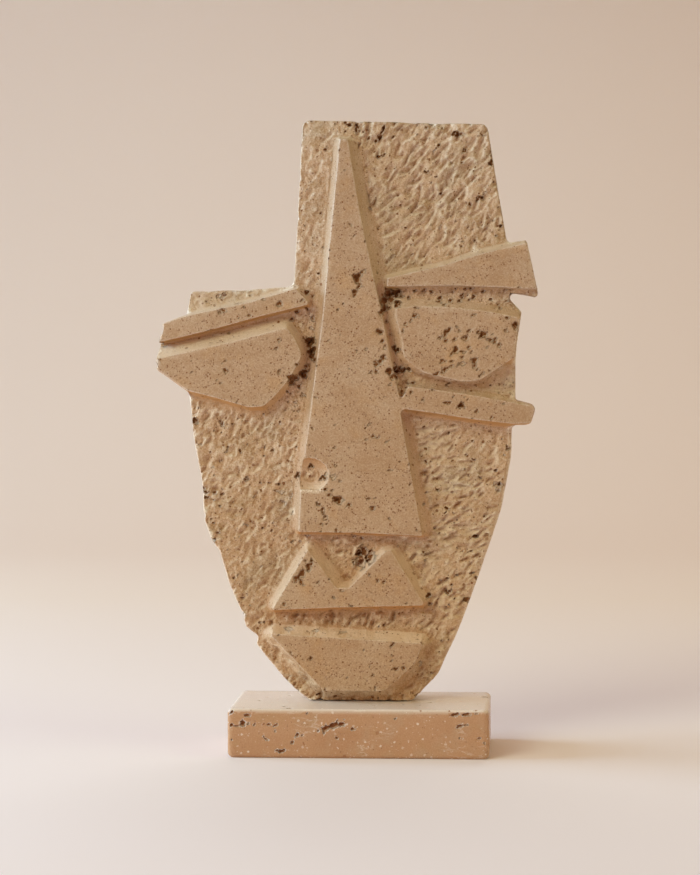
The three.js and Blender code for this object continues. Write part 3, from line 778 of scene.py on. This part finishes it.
WIDE_VIEW_ROUNDS = 30
wide_view = struck
for _ in range(WIDE_VIEW_ROUNDS):
    wide_view = soften(wide_view)
# Painted shade and highlight on the ground: darker in its hollows and at the feet of the walls, paler on its
# ridges.
relief_shade = read_grid(struck - wide_view, x, z) * calm + 0.6 * split + 0.8 * rough
relief_shade += 0.25 * (1 - ease_in(from_foot, 0, 3))
# Painted highlight on the steep flanks that face the light, which are also freshly broken stone.
fresh_and_lit = read_grid(broken_and_lit, x, z) * calm


def keep_attribute(mesh, name, values):
    """Stores one number for each point, for the materials to read."""
    mesh.attributes.new(name, "FLOAT", "POINT").data.foreach_set("value", values.astype(np.float32))


shoulder = on_ground * ease_in(z, 262, 268) * ease_in(x, -42, -46)
under_brow = on_ground * ease_in(x, 20, 30) * band(z, 262, 266, 290, 294)
beside_eye = band(x, 14, 18, 36, 40) * band(z, 226, 230, 274, 277)
# Pale edges: worn and bruised stone, and a painted highlight where the light catches the rounded arrises.
# Beside the right eye, where that edge lies in shade, less is painted.
edge_wear_and_highlight = np.maximum(0.55 - 0.55 * ease_in(from_arris, 0, 1.0), 1 - ease_in(from_edge, 1, 3.2))
edge_wear_and_highlight *= 1 - 0.75 * beside_eye
edge_wear_and_highlight = np.maximum(edge_wear_and_highlight, ease_in(bruised, 0.1, 0.6))
rough_walls = np.maximum(in_groove, 0.8 * (chin_side & on_wall)) * ~on_plane
painted = np.maximum(ground_share, rough_walls)
painted = np.maximum(painted, 0.6 * (on_wall & ~on_plane & (point_normals[:, 2] > 0.5)))
painted *= 1 - 0.5 * shoulder
# Walls in the shadow of the right brow or of the right eye get less painted top light and underside shade.
in_cast_shadow = ease_in(x, 20, 30) * band(z, 262, 268, 292, 296)
in_cast_shadow += ease_in(x, 30, 40) * band(z, 210, 216, 236, 240)
unshadowed_wall = (on_wall & ~on_plane & ~on_ground) * (1 - 0.8 * in_cast_shadow)
# Painted shade: the ground under overhanging walls gets a lower tilt, so it is painted the warm brown of
# shade.
overhang = foot & touched(wall_faces & (normals[:, 2] < -0.75))
under = (1 - ease_in(distances(places, places[overhang]), 0, 7)) * on_ground * (z < 300)
under *= 1 - 0.3 * under_brow
# Paler patches: the shoulder, under the right brow and the ground in the groove.
paler_patches = np.maximum(np.maximum(shoulder, 0.2 * under_brow), 0.6 * in_groove * on_ground)
keep_attribute(mask_mesh, "pit", pitted)
keep_attribute(mask_mesh, "pit_shadow", pit_shadows)
keep_attribute(mask_mesh, "relief_shade", np.clip(0.5 + 0.4 * relief_shade * painted, 0, 1))
keep_attribute(mask_mesh, "fresh_and_lit", np.clip(fresh_and_lit * painted + 0.35 * in_groove * on_ground, 0, 1))
keep_attribute(mask_mesh, "edge_wear_and_highlight", edge_wear_and_highlight)
# tilt is which way a point faces, for painted light: up is painted paler as dust and top light, down and
# under ledges the warm brown of shade.
keep_attribute(
    mask_mesh, "tilt", 0.5 + 0.5 * point_normals[:, 2] * unshadowed_wall - 0.36 * under + 0.22 * paler_patches
)
mask_mesh.polygons.foreach_set("use_smooth", np.ones(len(mask_mesh.polygons), bool))


# The stone
# Warm beige travertine, faintly clouded and banded. The planes are honed, so their pores are open and clean.
# The ground is rougher and dustier. The pores too small for the mesh are drawn here, darker with painted
# shade.
# Light and shade are painted into the colour too: shade in hollows, pits and under ledges, highlights on
# ridges, lit flanks and edges, and top light on faces that look up.
PALE_STONE = (0.74, 0.58, 0.42, 1)
BODY_STONE = (0.53, 0.352, 0.225, 1)
DEEP_STONE = (0.40, 0.225, 0.11, 1)
STAIN = (0.52, 0.31, 0.16, 1)
ASH = (0.53, 0.365, 0.24, 1)
# Faces that look up: dust and a painted top light.
DUST_AND_TOP_LIGHT = (0.76, 0.595, 0.45, 1)
# Edge colour: worn stone and painted highlight.
EDGE_WEAR_AND_HIGHLIGHT = (1.0, 0.89, 0.77, 1)
# Painted shade: the warm brown of faces that look down.
UNDERSIDE_SHADE = (0.58, 0.29, 0.095, 1)
# Painted shade inside pores and pits: a brown lining, a darker shade for pores, and the darkest for the
# shaded side of a pit.
PORE_SHADE_BROWN = (0.26, 0.10, 0.03, 1)
PIT_SHADE_BROWN = (0.13, 0.056, 0.02, 1)
PIT_LINING_SHADE = (0.36, 0.19, 0.085, 1)
# Painted shade: the warm brown of ground under ledges and of faces that look partly down.
WARM_SHADE = (0.68, 0.39, 0.18, 1)


def new_group(name, inputs, outputs):
    """An empty shader group with named inputs and outputs. Each input has a kind and a value."""
    group = bpy.data.node_groups.new(name, "ShaderNodeTree")
    for label, kind, value in inputs:
        socket = group.interface.new_socket(label, in_out="INPUT", socket_type="NodeSocket" + kind)
        if value is not None:
            socket.default_value = value
    for label, kind in outputs:
        group.interface.new_socket(label, in_out="OUTPUT", socket_type="NodeSocket" + kind)
    return group


def add_node(tree, kind, settings=None, **inputs):
    """A node with its properties set, and each input given a value or a link. i0 is the first input."""
    node = tree.nodes.new("ShaderNode" + kind)
    for label, value in (settings or {}).items():
        setattr(node, label, value)
    for label, value in inputs.items():
        by_place = label[0] == "i" and label[1:].isdigit()
        socket = node.inputs[int(label[1:]) if by_place else label]
        if isinstance(value, bpy.types.NodeSocket):
            tree.links.new(value, socket)
        else:
            socket.default_value = value
    return node


def use_group(tree, group, **inputs):
    """The first output of a group placed in the tree."""
    return add_node(tree, "Group", {"node_tree": group}, **inputs).outputs[0]


def noise(tree, place, scale, detail, roughness=0.5):
    """The outputs of a noise texture: its value, then three loose values as a colour."""
    return add_node(tree, "TexNoise", Vector=place, Scale=scale, Detail=detail, Roughness=roughness).outputs


def mix_colours(tree, share, first, second, blend="MIX"):
    """The first colour where the share is nought, the second where it is one."""
    settings = {"data_type": "RGBA", "blend_type": blend}
    return add_node(tree, "Mix", settings, i0=share, i6=first, i7=second).outputs[2]


def calculate(tree, operation, first, second=0.0, third=0.5, clamp=False):
    """The result of a sum on up to three values."""
    settings = {"operation": operation, "use_clamp": clamp}
    return add_node(tree, "Math", settings, i0=first, i1=second, i2=third).outputs[0]


def times(tree, first, second):
    """The product of two values."""
    return calculate(tree, "MULTIPLY", first, second)


def share_of(tree, value, start, end, low_end=0.0, high_end=1.0):
    """The low end at the start, the high end at the end, and held outside them."""
    ends = {"From Min": start, "From Max": end, "To Min": low_end, "To Max": high_end}
    return add_node(tree, "MapRange", Value=value, **ends).outputs[0]


def stone_tone_group():
    """Clouds, faint level bands, stains and fine specks of three shades of one stone."""
    group = new_group(
        "stone tone",
        [("Place", "Vector", None), ("Pale", "Color", PALE_STONE), ("Body", "Color", BODY_STONE),
         ("Deep", "Color", DEEP_STONE), ("Clouding", "Float", 0.5), ("Banding", "Float", 0.3)],
        [("Colour", "Color")],
    )
    given = group.nodes.new("NodeGroupInput").outputs
    place = given["Place"]
    moved = add_node(group, "Mapping", Vector=place, Location=(3, 5, 7)).outputs[0]
    stretched = add_node(group, "Mapping", Vector=place, Scale=(6, 6, 60)).outputs[0]
    clouds = times(group, noise(group, place, 38, 5, 0.6)[0], given["Clouding"])
    bands = times(group, noise(group, stretched, 1.6, 4)[0], given["Banding"])
    toned = share_of(group, calculate(group, "ADD", clouds, bands), 0.22, 0.58)
    stains = share_of(group, noise(group, place, 55, 3, 0.6)[0], 0.54, 0.72)
    ash = share_of(group, noise(group, moved, 32, 3, 0.6)[0], 0.52, 0.72)
    specks = noise(group, place, 1100, 2, 0.7)[0]
    light_specks = times(group, share_of(group, specks, 0.45, 0.8), 0.45)
    dark_specks = times(group, share_of(group, specks, 0.55, 0.2), 0.6)
    shade = mix_colours(group, toned, given["Deep"], given["Body"])
    shade = mix_colours(group, stains, shade, STAIN)
    shade = mix_colours(group, ash, shade, ASH)
    shade = mix_colours(group, light_specks, shade, given["Pale"])
    shade = mix_colours(group, dark_specks, shade, given["Deep"])
    group.links.new(shade, group.nodes.new("NodeGroupOutput").inputs["Colour"])
    return group


def pores_group():
    """Open pores as a mask: some cells of a scattered pattern hold one, each of its own size, in drifts."""
    group = new_group(
        "open pores",
        [("Place", "Vector", None), ("Cells per Metre", "Float", 300.0), ("Share", "Float", 0.4),
         ("Size", "Float", 0.25)],
        [("Pore", "Float")],
    )
    given = group.nodes.new("NodeGroupInput").outputs
    place = given["Place"]
    wander = noise(group, place, 1300, 2)[1]
    offset = add_node(group, "VectorMath", {"operation": "SCALE"}, i0=wander, Scale=0.0009).outputs[0]
    moved = add_node(group, "VectorMath", {"operation": "ADD"}, i0=place, i1=offset).outputs[0]
    cells = add_node(group, "TexVoronoi", Vector=moved, Scale=given["Cells per Metre"]).outputs
    crowding = share_of(group, noise(group, place, 75, 2)[0], 0.35, 0.7, 0.15, 2.2)
    chance = add_node(group, "SeparateColor", i0=cells["Color"]).outputs
    chosen = calculate(group, "LESS_THAN", chance[0], times(group, given["Share"], crowding))
    growth = calculate(group, "MULTIPLY_ADD", times(group, chance[1], chance[1]), 1.4, 0.6)
    edge = calculate(group, "SUBTRACT", times(group, growth, given["Size"]), cells["Distance"])
    depth = calculate(group, "MULTIPLY", edge, 12, clamp=True)
    pore = times(group, times(group, depth, chosen), share_of(group, chance[2], -0.6, 1))
    group.links.new(pore, group.nodes.new("NodeGroupOutput").inputs["Pore"])
    return group


def pale_marks_group():
    """Filled flecks and thin wandering veins of paler stone, as a mask."""
    group = new_group("pale marks", [("Place", "Vector", None)], [("Mark", "Float")])
    place = group.nodes.new("NodeGroupInput").outputs["Place"]
    moved = add_node(group, "Mapping", Vector=place, Location=(0.2, 0.1, 0.3)).outputs[0]
    level = add_node(group, "Mapping", Vector=moved, Scale=(1, 1, 2.6)).outputs[0]
    cells = {"Cells per Metre": 450.0, "Share": 0.6, "Size": 0.25}
    flecks = use_group(group, OPEN_PORES, Place=moved, **cells)
    apart = calculate(group, "ABSOLUTE", calculate(group, "SUBTRACT", noise(group, level, 95, 3)[0], 0.5))
    patches = share_of(group, noise(group, place, 45, 1)[0], 0.56, 0.66)
    veins = times(group, times(group, share_of(group, apart, 0.03, 0.0), patches), 0.5)
    mark = calculate(group, "MAXIMUM", flecks, veins)
    group.links.new(mark, group.nodes.new("NodeGroupOutput").inputs["Mark"])
    return group


STONE_TONE = stone_tone_group()
OPEN_PORES = pores_group()
PALE_MARKS = pale_marks_group()


def stone_material(
    name, shades, dust_and_top_light, roughness, pore_layers, grain, clouding, banding, foot_tint, top_tint,
    pale_marks=0.0, dimples=0.0, uneven_share=0.0,
):
    """One finish of the stone: its tone, pores, pits, worn edges and grain, with painted light and shade:
    shade in hollows, pits, pores and on faces that look down, highlights on ridges, lit flanks, pit sides
    and edges, and faces that look up paler with settled stone powder and painted top light.
    """
    material = bpy.data.materials.new(name)
    material.use_nodes = True
    tree = material.node_tree
    tree.nodes.clear()
    place = add_node(tree, "TexCoord").outputs["Object"]
    pale, body, deep, pore_shade, pit_shade = shades
    shade = use_group(
        tree, STONE_TONE, Place=place, Pale=pale, Body=body, Deep=deep, Clouding=clouding, Banding=banding
    )
    relief_shade, fresh_and_lit, edge_wear_and_highlight, inside, pit_shadow, tilt = (
        add_node(tree, "Attribute", {"attribute_name": attribute}).outputs["Fac"]
        for attribute in ("relief_shade", "fresh_and_lit", "edge_wear_and_highlight", "pit", "pit_shadow", "tilt")
    )
    height = add_node(tree, "SeparateXYZ", i0=place).outputs[2]
    ragged = noise(tree, place, 1000, 3, 0.7)[0]

    # Painted relief: the ground's hollows are painted darker as shade, its ridges paler as highlight.
    uneven = calculate(tree, "ADD", relief_shade, times(tree, ragged, uneven_share))
    middle = 0.5 + 0.5 * uneven_share
    hollow_shade = share_of(tree, uneven, middle + 0.07, middle + 0.4)
    ridge_highlight = share_of(tree, uneven, middle - 0.05, middle - 0.32)
    # Painted shade: faces that look down are painted warm brown, except near the foot.
    downward = share_of(tree, tilt, 0.17, 0.03)
    above_foot = share_of(tree, height, 0.055, 0.09)
    # Painted warm shade on faces that look partly down and on ground under the ledges.
    warm = times(tree, share_of(tree, tilt, 0.46, 0.1), above_foot)
    underside_shade = times(tree, downward, above_foot)
    # Painted light thrown up from the plinth: low faces that look down are painted paler.
    low_bounce_light = times(tree, downward, share_of(tree, height, 0.08, 0.04))
    # Faces that look up are painted paler: dust and painted top light.
    upward = share_of(tree, tilt, 0.5, 0.85)
    # Edges painted pale: worn stone and painted highlight.
    worn = times(tree, edge_wear_and_highlight, share_of(tree, ragged, 0.35, 0.6))
    for share, strength, colour in (
        (hollow_shade, 0.72, deep), (ridge_highlight, 0.8, pale), (fresh_and_lit, 0.55, pale), (warm, 0.6, WARM_SHADE),
        (underside_shade, 0.8, UNDERSIDE_SHADE), (low_bounce_light, 0.4, pale), (upward, 0.75, dust_and_top_light), (worn, 0.85, EDGE_WEAR_AND_HIGHLIGHT),
    ):
        shade = mix_colours(tree, times(tree, share, strength), shade, colour)
    drift = mix_colours(tree, share_of(tree, height, 0.06, 0.36), foot_tint, top_tint)
    shade = mix_colours(tree, 1.0, shade, drift, "MULTIPLY")

    pores = 0.0
    for cells, share, size in pore_layers:
        layer = use_group(
            tree, OPEN_PORES, Place=place, **{"Cells per Metre": cells, "Share": share, "Size": size}
        )
        pores = calculate(tree, "MAXIMUM", pores, layer)
    # Pits and pores are painted darker with their own shade: a brown lining inside each pit, the pores too
    # small for the mesh, and the darkest core on each pit's shaded upper left.
    torn = calculate(tree, "MULTIPLY_ADD", ragged, 0.7, inside)
    deepest = calculate(tree, "MULTIPLY_ADD", ragged, 0.7, pit_shadow)
    lined = share_of(tree, torn, 0.52, 0.64)
    # Painted highlight on the lower right inside each pit, the side that faces the light.
    lit_side = share_of(tree, calculate(tree, "SUBTRACT", inside, pit_shadow), 0.0, 0.08)
    rim_highlight = times(tree, times(tree, lined, lit_side), share_of(tree, inside, 0.75, 0.5))
    pore_and_pit_shade = calculate(tree, "MAXIMUM", pores, share_of(tree, deepest, 0.74, 0.86))
    shadow_heart = share_of(tree, deepest, 0.92, 1.25)
    if pale_marks:
        marks = use_group(tree, PALE_MARKS, Place=place)
        halo = times(tree, share_of(tree, torn, 0.38, 0.46), share_of(tree, inside, 0.0, 0.1))
        shade = mix_colours(tree, times(tree, marks, pale_marks), shade, dust_and_top_light)
        shade = mix_colours(tree, times(tree, halo, 0.8), shade, dust_and_top_light)
    shade = mix_colours(tree, times(tree, lined, 0.7), shade, PIT_LINING_SHADE)
    shade = mix_colours(tree, times(tree, rim_highlight, 0.6), shade, pale)
    shade = mix_colours(tree, pore_and_pit_shade, shade, pore_shade)
    shade = mix_colours(tree, shadow_heart, shade, pit_shade)
    dullness = calculate(tree, "MAXIMUM", pore_and_pit_shade, roughness)

    lift = times(tree, noise(tree, place, 750, 4, 0.7)[0], grain)
    if dimples:
        warp = noise(tree, place, 350, 2)[1]
        warp = add_node(tree, "VectorMath", {"operation": "SCALE"}, i0=warp, Scale=0.0035).outputs[0]
        bent = add_node(tree, "VectorMath", {"operation": "ADD"}, i0=place, i1=warp).outputs[0]
        struck_cells = add_node(tree, "TexVoronoi", Vector=bent, Scale=380).outputs["Distance"]
        lift = calculate(tree, "ADD", lift, times(tree, struck_cells, dimples))
    lift = calculate(tree, "SUBTRACT", lift, times(tree, pores, 0.6))
    lift = calculate(tree, "SUBTRACT", lift, times(tree, share_of(tree, torn, 0.5, 0.7), 1.6))
    bump = add_node(tree, "Bump", Strength=1.0, Distance=0.0006, Height=lift).outputs[0]
    shader = add_node(
        tree, "BsdfPrincipled",
        **{"Base Color": shade, "Roughness": dullness, "Normal": bump, "Specular IOR Level": 0.4},
    )
    add_node(tree, "OutputMaterial", Surface=shader.outputs[0])
    return material


TOOLED_PALE = (1.0, 0.86, 0.72, 1)
TOOLED_BODY = (0.71, 0.465, 0.305, 1)
TOOLED_DEEP = (0.42, 0.20, 0.075, 1)
DRESSED_PALE = (0.86, 0.72, 0.56, 1)
DRESSED_BODY = (0.60, 0.385, 0.25, 1)
DRESSED_DEEP = (0.46, 0.26, 0.13, 1)
HONED_FOOT_TINT = (1.01, 0.98, 0.92, 1)
HONED_TOP_TINT = (1.0, 1.04, 1.15, 1)
GROUND_FOOT_TINT = (0.885, 0.825, 0.69, 1)
WALL_FOOT_TINT = (1.06, 1.0, 0.9, 1)
TOP_TINT = (0.98, 1.045, 1.10, 1)
honed = stone_material(
    "honed travertine", (PALE_STONE, BODY_STONE, DEEP_STONE, PORE_SHADE_BROWN, PIT_SHADE_BROWN), DUST_AND_TOP_LIGHT, roughness=0.45,
    pore_layers=[(900, 0.36, 0.24), (480, 0.13, 0.26)], grain=0.6, clouding=0.6, banding=0.3,
    foot_tint=HONED_FOOT_TINT, top_tint=HONED_TOP_TINT,
)
tooled = stone_material(
    "tooled travertine", (TOOLED_PALE, TOOLED_BODY, TOOLED_DEEP, PORE_SHADE_BROWN, PIT_SHADE_BROWN), DUST_AND_TOP_LIGHT, roughness=0.6,
    pore_layers=[(900, 0.15, 0.26), (420, 0.14, 0.27)], grain=1.6, clouding=0.75, banding=0.45,
    foot_tint=GROUND_FOOT_TINT, top_tint=TOP_TINT, dimples=1.0, uneven_share=0.5,
)
dressed = stone_material(
    "dressed travertine", (DRESSED_PALE, DRESSED_BODY, DRESSED_DEEP, PORE_SHADE_BROWN, PIT_SHADE_BROWN), DUST_AND_TOP_LIGHT,
    roughness=0.55, pore_layers=[(900, 0.15, 0.26), (420, 0.12, 0.27)], grain=1.3, clouding=0.7, banding=0.3,
    foot_tint=WALL_FOOT_TINT, top_tint=TOP_TINT,
)
for finish in (dressed, honed, tooled):
    mask_mesh.materials.append(finish)
in_reach = (middles[:, 0] > GROOVE_LEFT_MM) & (middles[:, 1] > GROOVE_FRONT_MM)
groove_faces = wall_faces & in_reach & (np.abs(middles[:, 2] - GROOVE_MIDDLE_MM) < GROOVE_HALF_MM)
chin_faces = wall_faces & (middles[:, 2] < CHIN_TOP_MM) & (normals[:, 2] < 0.5)
rough_faces = tooled_faces | groove_faces | chin_faces
mask_mesh.polygons.foreach_set("material_index", plane_faces + 2 * rough_faces)
mask = bpy.data.objects.new("stone_mask", mask_mesh)
bpy.context.collection.objects.link(mask)
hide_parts("mask")
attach(mask, "root")


# The plinth
# A sawn block of a redder travertine, honed on every face, with eased edges, long pits and pale veins. Its
# top is painted paler, as dust and sheen, its edges paler as wear and highlight, and its pits and pores
# darker with painted shade.
PLINTH_STEP_MM = 2
PLINTH_EDGE_MM = 2
OTHER_PITS = 90
OTHER_SIZES_MM = (1, 3.5)
PLINTH_MARGINS_MM = (1.6, 0.7)
PLINTH_PALE = (0.64, 0.42, 0.27, 1)
PLINTH_BODY = (0.56, 0.32, 0.18, 1)
PLINTH_DEEP = (0.46, 0.23, 0.11, 1)
FRONT_PITS = [
    (-77, 28, 2.5, 1.5, 40, 1), (-67.5, 26, 4.5, 1.5, 0, 1), (-70, 21, 3, 2.5, 30, 1),
    (-73.5, 19.5, 4.5, 1, 0, 0.8), (-77, 20, 2, 1.5, 0, 0.9), (-63, 20.5, 2, 1, 50, 0.8),
    (-54, 20.5, 2.5, 1, 0, 0.9), (-50, 20, 2, 1, 0, 0.9), (-50.5, 16.5, 1, 1, 0, 0.6),
    (-77, 11, 1, 1, 0, 0.8), (-56, 11.5, 2, 1, -30, 0.8), (-40, 9.5, 2, 1.5, 60, 0.9),
    (-37, 14, 2, 1.5, 0, 0.9), (-46.5, 4, 3.5, 2, 20, 1), (60, 27.5, 5, 1.5, 8, 1),
    (67, 27.5, 5, 2, 0, 0.8), (72, 28, 2, 1, 0, 0.8), (62.5, 20.5, 3, 1.5, 0, 1),
    (65.5, 21, 2, 1, 20, 0.8), (62, 13, 1.5, 1, 0, 0.8), (74, 13, 1.5, 1, 0, 0.9),
    (77, 10.5, 1, 1, 0, 0.8), (-20, 18, 5, 3, 10, 1), (-14.5, 20, 5, 3, 20, 1), (-10, 21, 4, 2.5, 15, 1),
    (-3, 18, 3, 1.5, 0, 1), (-31, 27.5, 2, 1, 30, 0.9), (-12.5, 12.5, 2, 1, -30, 0.8),
    (-34, 14, 2, 1, 0, 0.9), (23, 24.5, 1.5, 1, 0, 0.8),
]
plinth_low, plinth_high = (np.array(corner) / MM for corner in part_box("plinth"))
plinth_form = closed_form("plinth")
for axis in (0, 1, 2):
    cuts = steps(plinth_low[axis] + PLINTH_EDGE_MM, plinth_high[axis] - PLINTH_EDGE_MM, PLINTH_STEP_MM)
    slice_faces(plinth_form, lambda face: True, axis, cuts * MM)
bmesh.ops.triangulate(plinth_form, faces=plinth_form.faces)
plinth_form.normal_update()
plinth_pits = []
for across, up, length, width, lean, strength in FRONT_PITS:
    turn = math.radians(lean)
    along = Vector((math.cos(turn), 0, math.sin(turn)))
    start = Vector((across, plinth_low[1], up)) * MM
    plinth_pits.append((start, along, Vector((0, 1, 0)), length, width, strength))
other_faces = (plinth_form, lambda face: face.normal.y > -0.5)
plinth_pits += scattered_pits(*other_faces, OTHER_PITS, OTHER_SIZES_MM, 71)
for margin in PLINTH_MARGINS_MM:
    refine(plinth_form, faces_near(plinth_form, plinth_pits, margin))
plinth_mesh = mesh_of(plinth_form, "plinth")
spots = read_rows(plinth_mesh.vertices, "co") / MM
plinth_normals = read_rows(plinth_mesh.vertices, "normal")
wave = 0.05 * (1 + cloud(spots, 22, 72)) + 0.03 * (1 + cloud(spots, 4, 73))
spots = spots - plinth_normals * wave[:, None]
spots, plinth_pitted, plinth_pit_shadows = press_pits(spots, plinth_normals, plinth_pits)
plinth_mesh.vertices.foreach_set("co", (spots * MM).ravel())
plinth_mesh.update()
inner = np.sort(np.minimum(spots - plinth_low, plinth_high - spots), axis=1)
keep_attribute(plinth_mesh, "pit", plinth_pitted)
keep_attribute(plinth_mesh, "pit_shadow", plinth_pit_shadows)
keep_attribute(plinth_mesh, "relief_shade", np.full(len(spots), 0.5))
keep_attribute(plinth_mesh, "fresh_and_lit", np.zeros(len(spots)))
# Pale edges of the plinth: worn stone and painted highlight.
keep_attribute(plinth_mesh, "edge_wear_and_highlight", 1 - ease_in(inner[:, 1], 0.2, 1.2))
# Which way each point faces: the plinth's top is painted paler, as dust and a painted sheen.
keep_attribute(plinth_mesh, "tilt", 0.5 + 0.5 * plinth_normals[:, 2])
plinth_mesh.polygons.foreach_set("use_smooth", np.ones(len(plinth_mesh.polygons), bool))
# Painted shade inside the plinth's pores and pits.
PLINTH_PORE_SHADE = (0.40, 0.18, 0.08, 1)
PLINTH_PIT_SHADE = (0.30, 0.12, 0.05, 1)
# The plinth's pale top is dust and a painted sheen; the same colour makes its pale flecks, veins and pit
# halos.
PLINTH_DUST_AND_SHEEN = (0.94, 0.86, 0.80, 1)
plinth_stone = stone_material(
    "plinth travertine", (PLINTH_PALE, PLINTH_BODY, PLINTH_DEEP, PLINTH_PORE_SHADE, PLINTH_PIT_SHADE), PLINTH_DUST_AND_SHEEN,
    roughness=0.25, pore_layers=[(800, 0.06, 0.28), (400, 0.05, 0.27)], grain=0.15, clouding=0.6,
    banding=0.5, foot_tint=(1, 1, 1, 1), top_tint=(1, 1, 1, 1), pale_marks=0.65,
)
plinth_mesh.materials.append(plinth_stone)
plinth = bpy.data.objects.new("stone_plinth", plinth_mesh)
bpy.context.collection.objects.link(plinth)
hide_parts("plinth")
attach(plinth, "root")


# The stage
# A plain pale floor that sweeps up into the background, soft light from the upper left, and the camera.
SWEEP_HALF_WIDTH = 4.0
SWEEP_FRONT = -3.5
SWEEP_BACK = 2.6
SWEEP_HEIGHT = 3.2
SWEEP_RADIUS = 1.2
SWEEP_PARTS = 12
FADE_REACH = (-0.3, 0.9)
FLOOR_SHADE = (0.92, 0.86, 0.915, 1)
WALL_SHADE = (0.91, 0.812, 0.73, 1)

sweep_form = bmesh.new()
rail = [sweep_form.verts.new((-SWEEP_HALF_WIDTH, SWEEP_FRONT, 0))]
rail.append(sweep_form.verts.new((-SWEEP_HALF_WIDTH, SWEEP_BACK - SWEEP_RADIUS, 0)))
for part in range(1, SWEEP_PARTS + 1):
    angle = math.radians(90) * part / SWEEP_PARTS
    y_turn = SWEEP_BACK - SWEEP_RADIUS + SWEEP_RADIUS * math.sin(angle)
    z_turn = SWEEP_RADIUS - SWEEP_RADIUS * math.cos(angle)
    rail.append(sweep_form.verts.new((-SWEEP_HALF_WIDTH, y_turn, z_turn)))
rail.append(sweep_form.verts.new((-SWEEP_HALF_WIDTH, SWEEP_BACK, SWEEP_HEIGHT)))
rail_edges = [sweep_form.edges.new(pair) for pair in zip(rail, rail[1:])]
swept = bmesh.ops.extrude_edge_only(sweep_form, edges=rail_edges)
moved = [part for part in swept["geom"] if isinstance(part, bmesh.types.BMVert)]
bmesh.ops.translate(sweep_form, vec=(2 * SWEEP_HALF_WIDTH, 0, 0), verts=moved)
bmesh.ops.recalc_face_normals(sweep_form, faces=sweep_form.faces)
sweep_mesh = mesh_of(sweep_form, "sweep")
sweep_mesh.polygons.foreach_set("use_smooth", np.ones(len(sweep_mesh.polygons), bool))
sweep_paint = bpy.data.materials.new("sweep paint")
sweep_paint.use_nodes = True
paint_tree = sweep_paint.node_tree
paint_tree.nodes.clear()
paint_place = add_node(paint_tree, "TexCoord").outputs["Object"]
backward = add_node(paint_tree, "SeparateXYZ", i0=paint_place).outputs[1]
paint = mix_colours(paint_tree, share_of(paint_tree, backward, *FADE_REACH), FLOOR_SHADE, WALL_SHADE)
paint_shader = add_node(
    paint_tree, "BsdfPrincipled", **{"Base Color": paint, "Roughness": 0.9, "Specular IOR Level": 0.1}
)
add_node(paint_tree, "OutputMaterial", Surface=paint_shader.outputs[0])
sweep_mesh.materials.append(sweep_paint)
sweep = bpy.data.objects.new("sweep", sweep_mesh)
bpy.context.collection.objects.link(sweep)


def soft_light(name, place, aim, width, tall, power, colour):
    """A soft box that looks at a point."""
    lamp = bpy.data.lights.new(name, "AREA")
    lamp.shape = "RECTANGLE"
    lamp.size = width
    lamp.size_y = tall
    lamp.energy = power
    lamp.color = colour
    light = bpy.data.objects.new(name, lamp)
    light.location = place
    light.rotation_euler = (Vector(aim) - Vector(place)).to_track_quat("-Z", "Y").to_euler()
    light.visible_camera = False
    bpy.context.collection.objects.link(light)


# Each light: degrees round and up from the object, width and height in metres, and watts of each colour.
LIGHT_DISTANCE = 2.3
LIGHT_AIM = Vector((0, 0, 0.2))
LIGHTS = {
    "key": (-38, 30, 1.3, 1.1, (22, 24.4, 19.2)),
    "window": (-93, 15, 1.6, 1.0, (33, 49, 62)),
    "right": (75, 30, 1.4, 1.2, (8.6, 10.8, 6.6)),
    "rear": (180, 42, 1.6, 0.8, (8.4, 8.8, 8.2)),
}
for name, (azimuth, elevation, width, tall, power) in LIGHTS.items():
    turn, rise = math.radians(azimuth), math.radians(elevation)
    towards = Vector((math.sin(turn) * math.cos(rise), -math.cos(turn) * math.cos(rise), math.sin(rise)))
    brightest = max(power)
    shade = [part / brightest for part in power]
    soft_light(name, LIGHT_AIM + LIGHT_DISTANCE * towards, LIGHT_AIM, width, tall, brightest, shade)

# The room gives a dim warm fill, and the camera sees a pale backdrop past the sweep's edges.
WORLD_SHADE = (0.27, 0.09, 0.02, 1)
BACKDROP_SHADE = (0.66, 0.53, 0.43, 1)
world = bpy.data.worlds.new("room light")
world.use_nodes = True
room = world.node_tree
seen = add_node(room, "LightPath").outputs["Is Camera Ray"]
room_shade = mix_colours(room, seen, WORLD_SHADE, BACKDROP_SHADE)
room.links.new(room_shade, room.nodes["Background"].inputs["Color"])
room.nodes["Background"].inputs["Strength"].default_value = 1.0
bpy.context.scene.world = world

camera_data = bpy.data.cameras.new("camera")
camera_data.lens = LENS_MM
camera_data.sensor_fit = "AUTO"
camera_data.sensor_width = SENSOR_MM
camera = bpy.data.objects.new("camera", camera_data)
camera.rotation_mode = "XYZ"
camera.location = CAMERA_PLACE
camera.rotation_euler = Matrix((right, top, -forward)).transposed().to_euler()
bpy.context.collection.objects.link(camera)
bpy.context.scene.camera = camera
bpy.context.scene.view_settings.view_transform = "Standard"
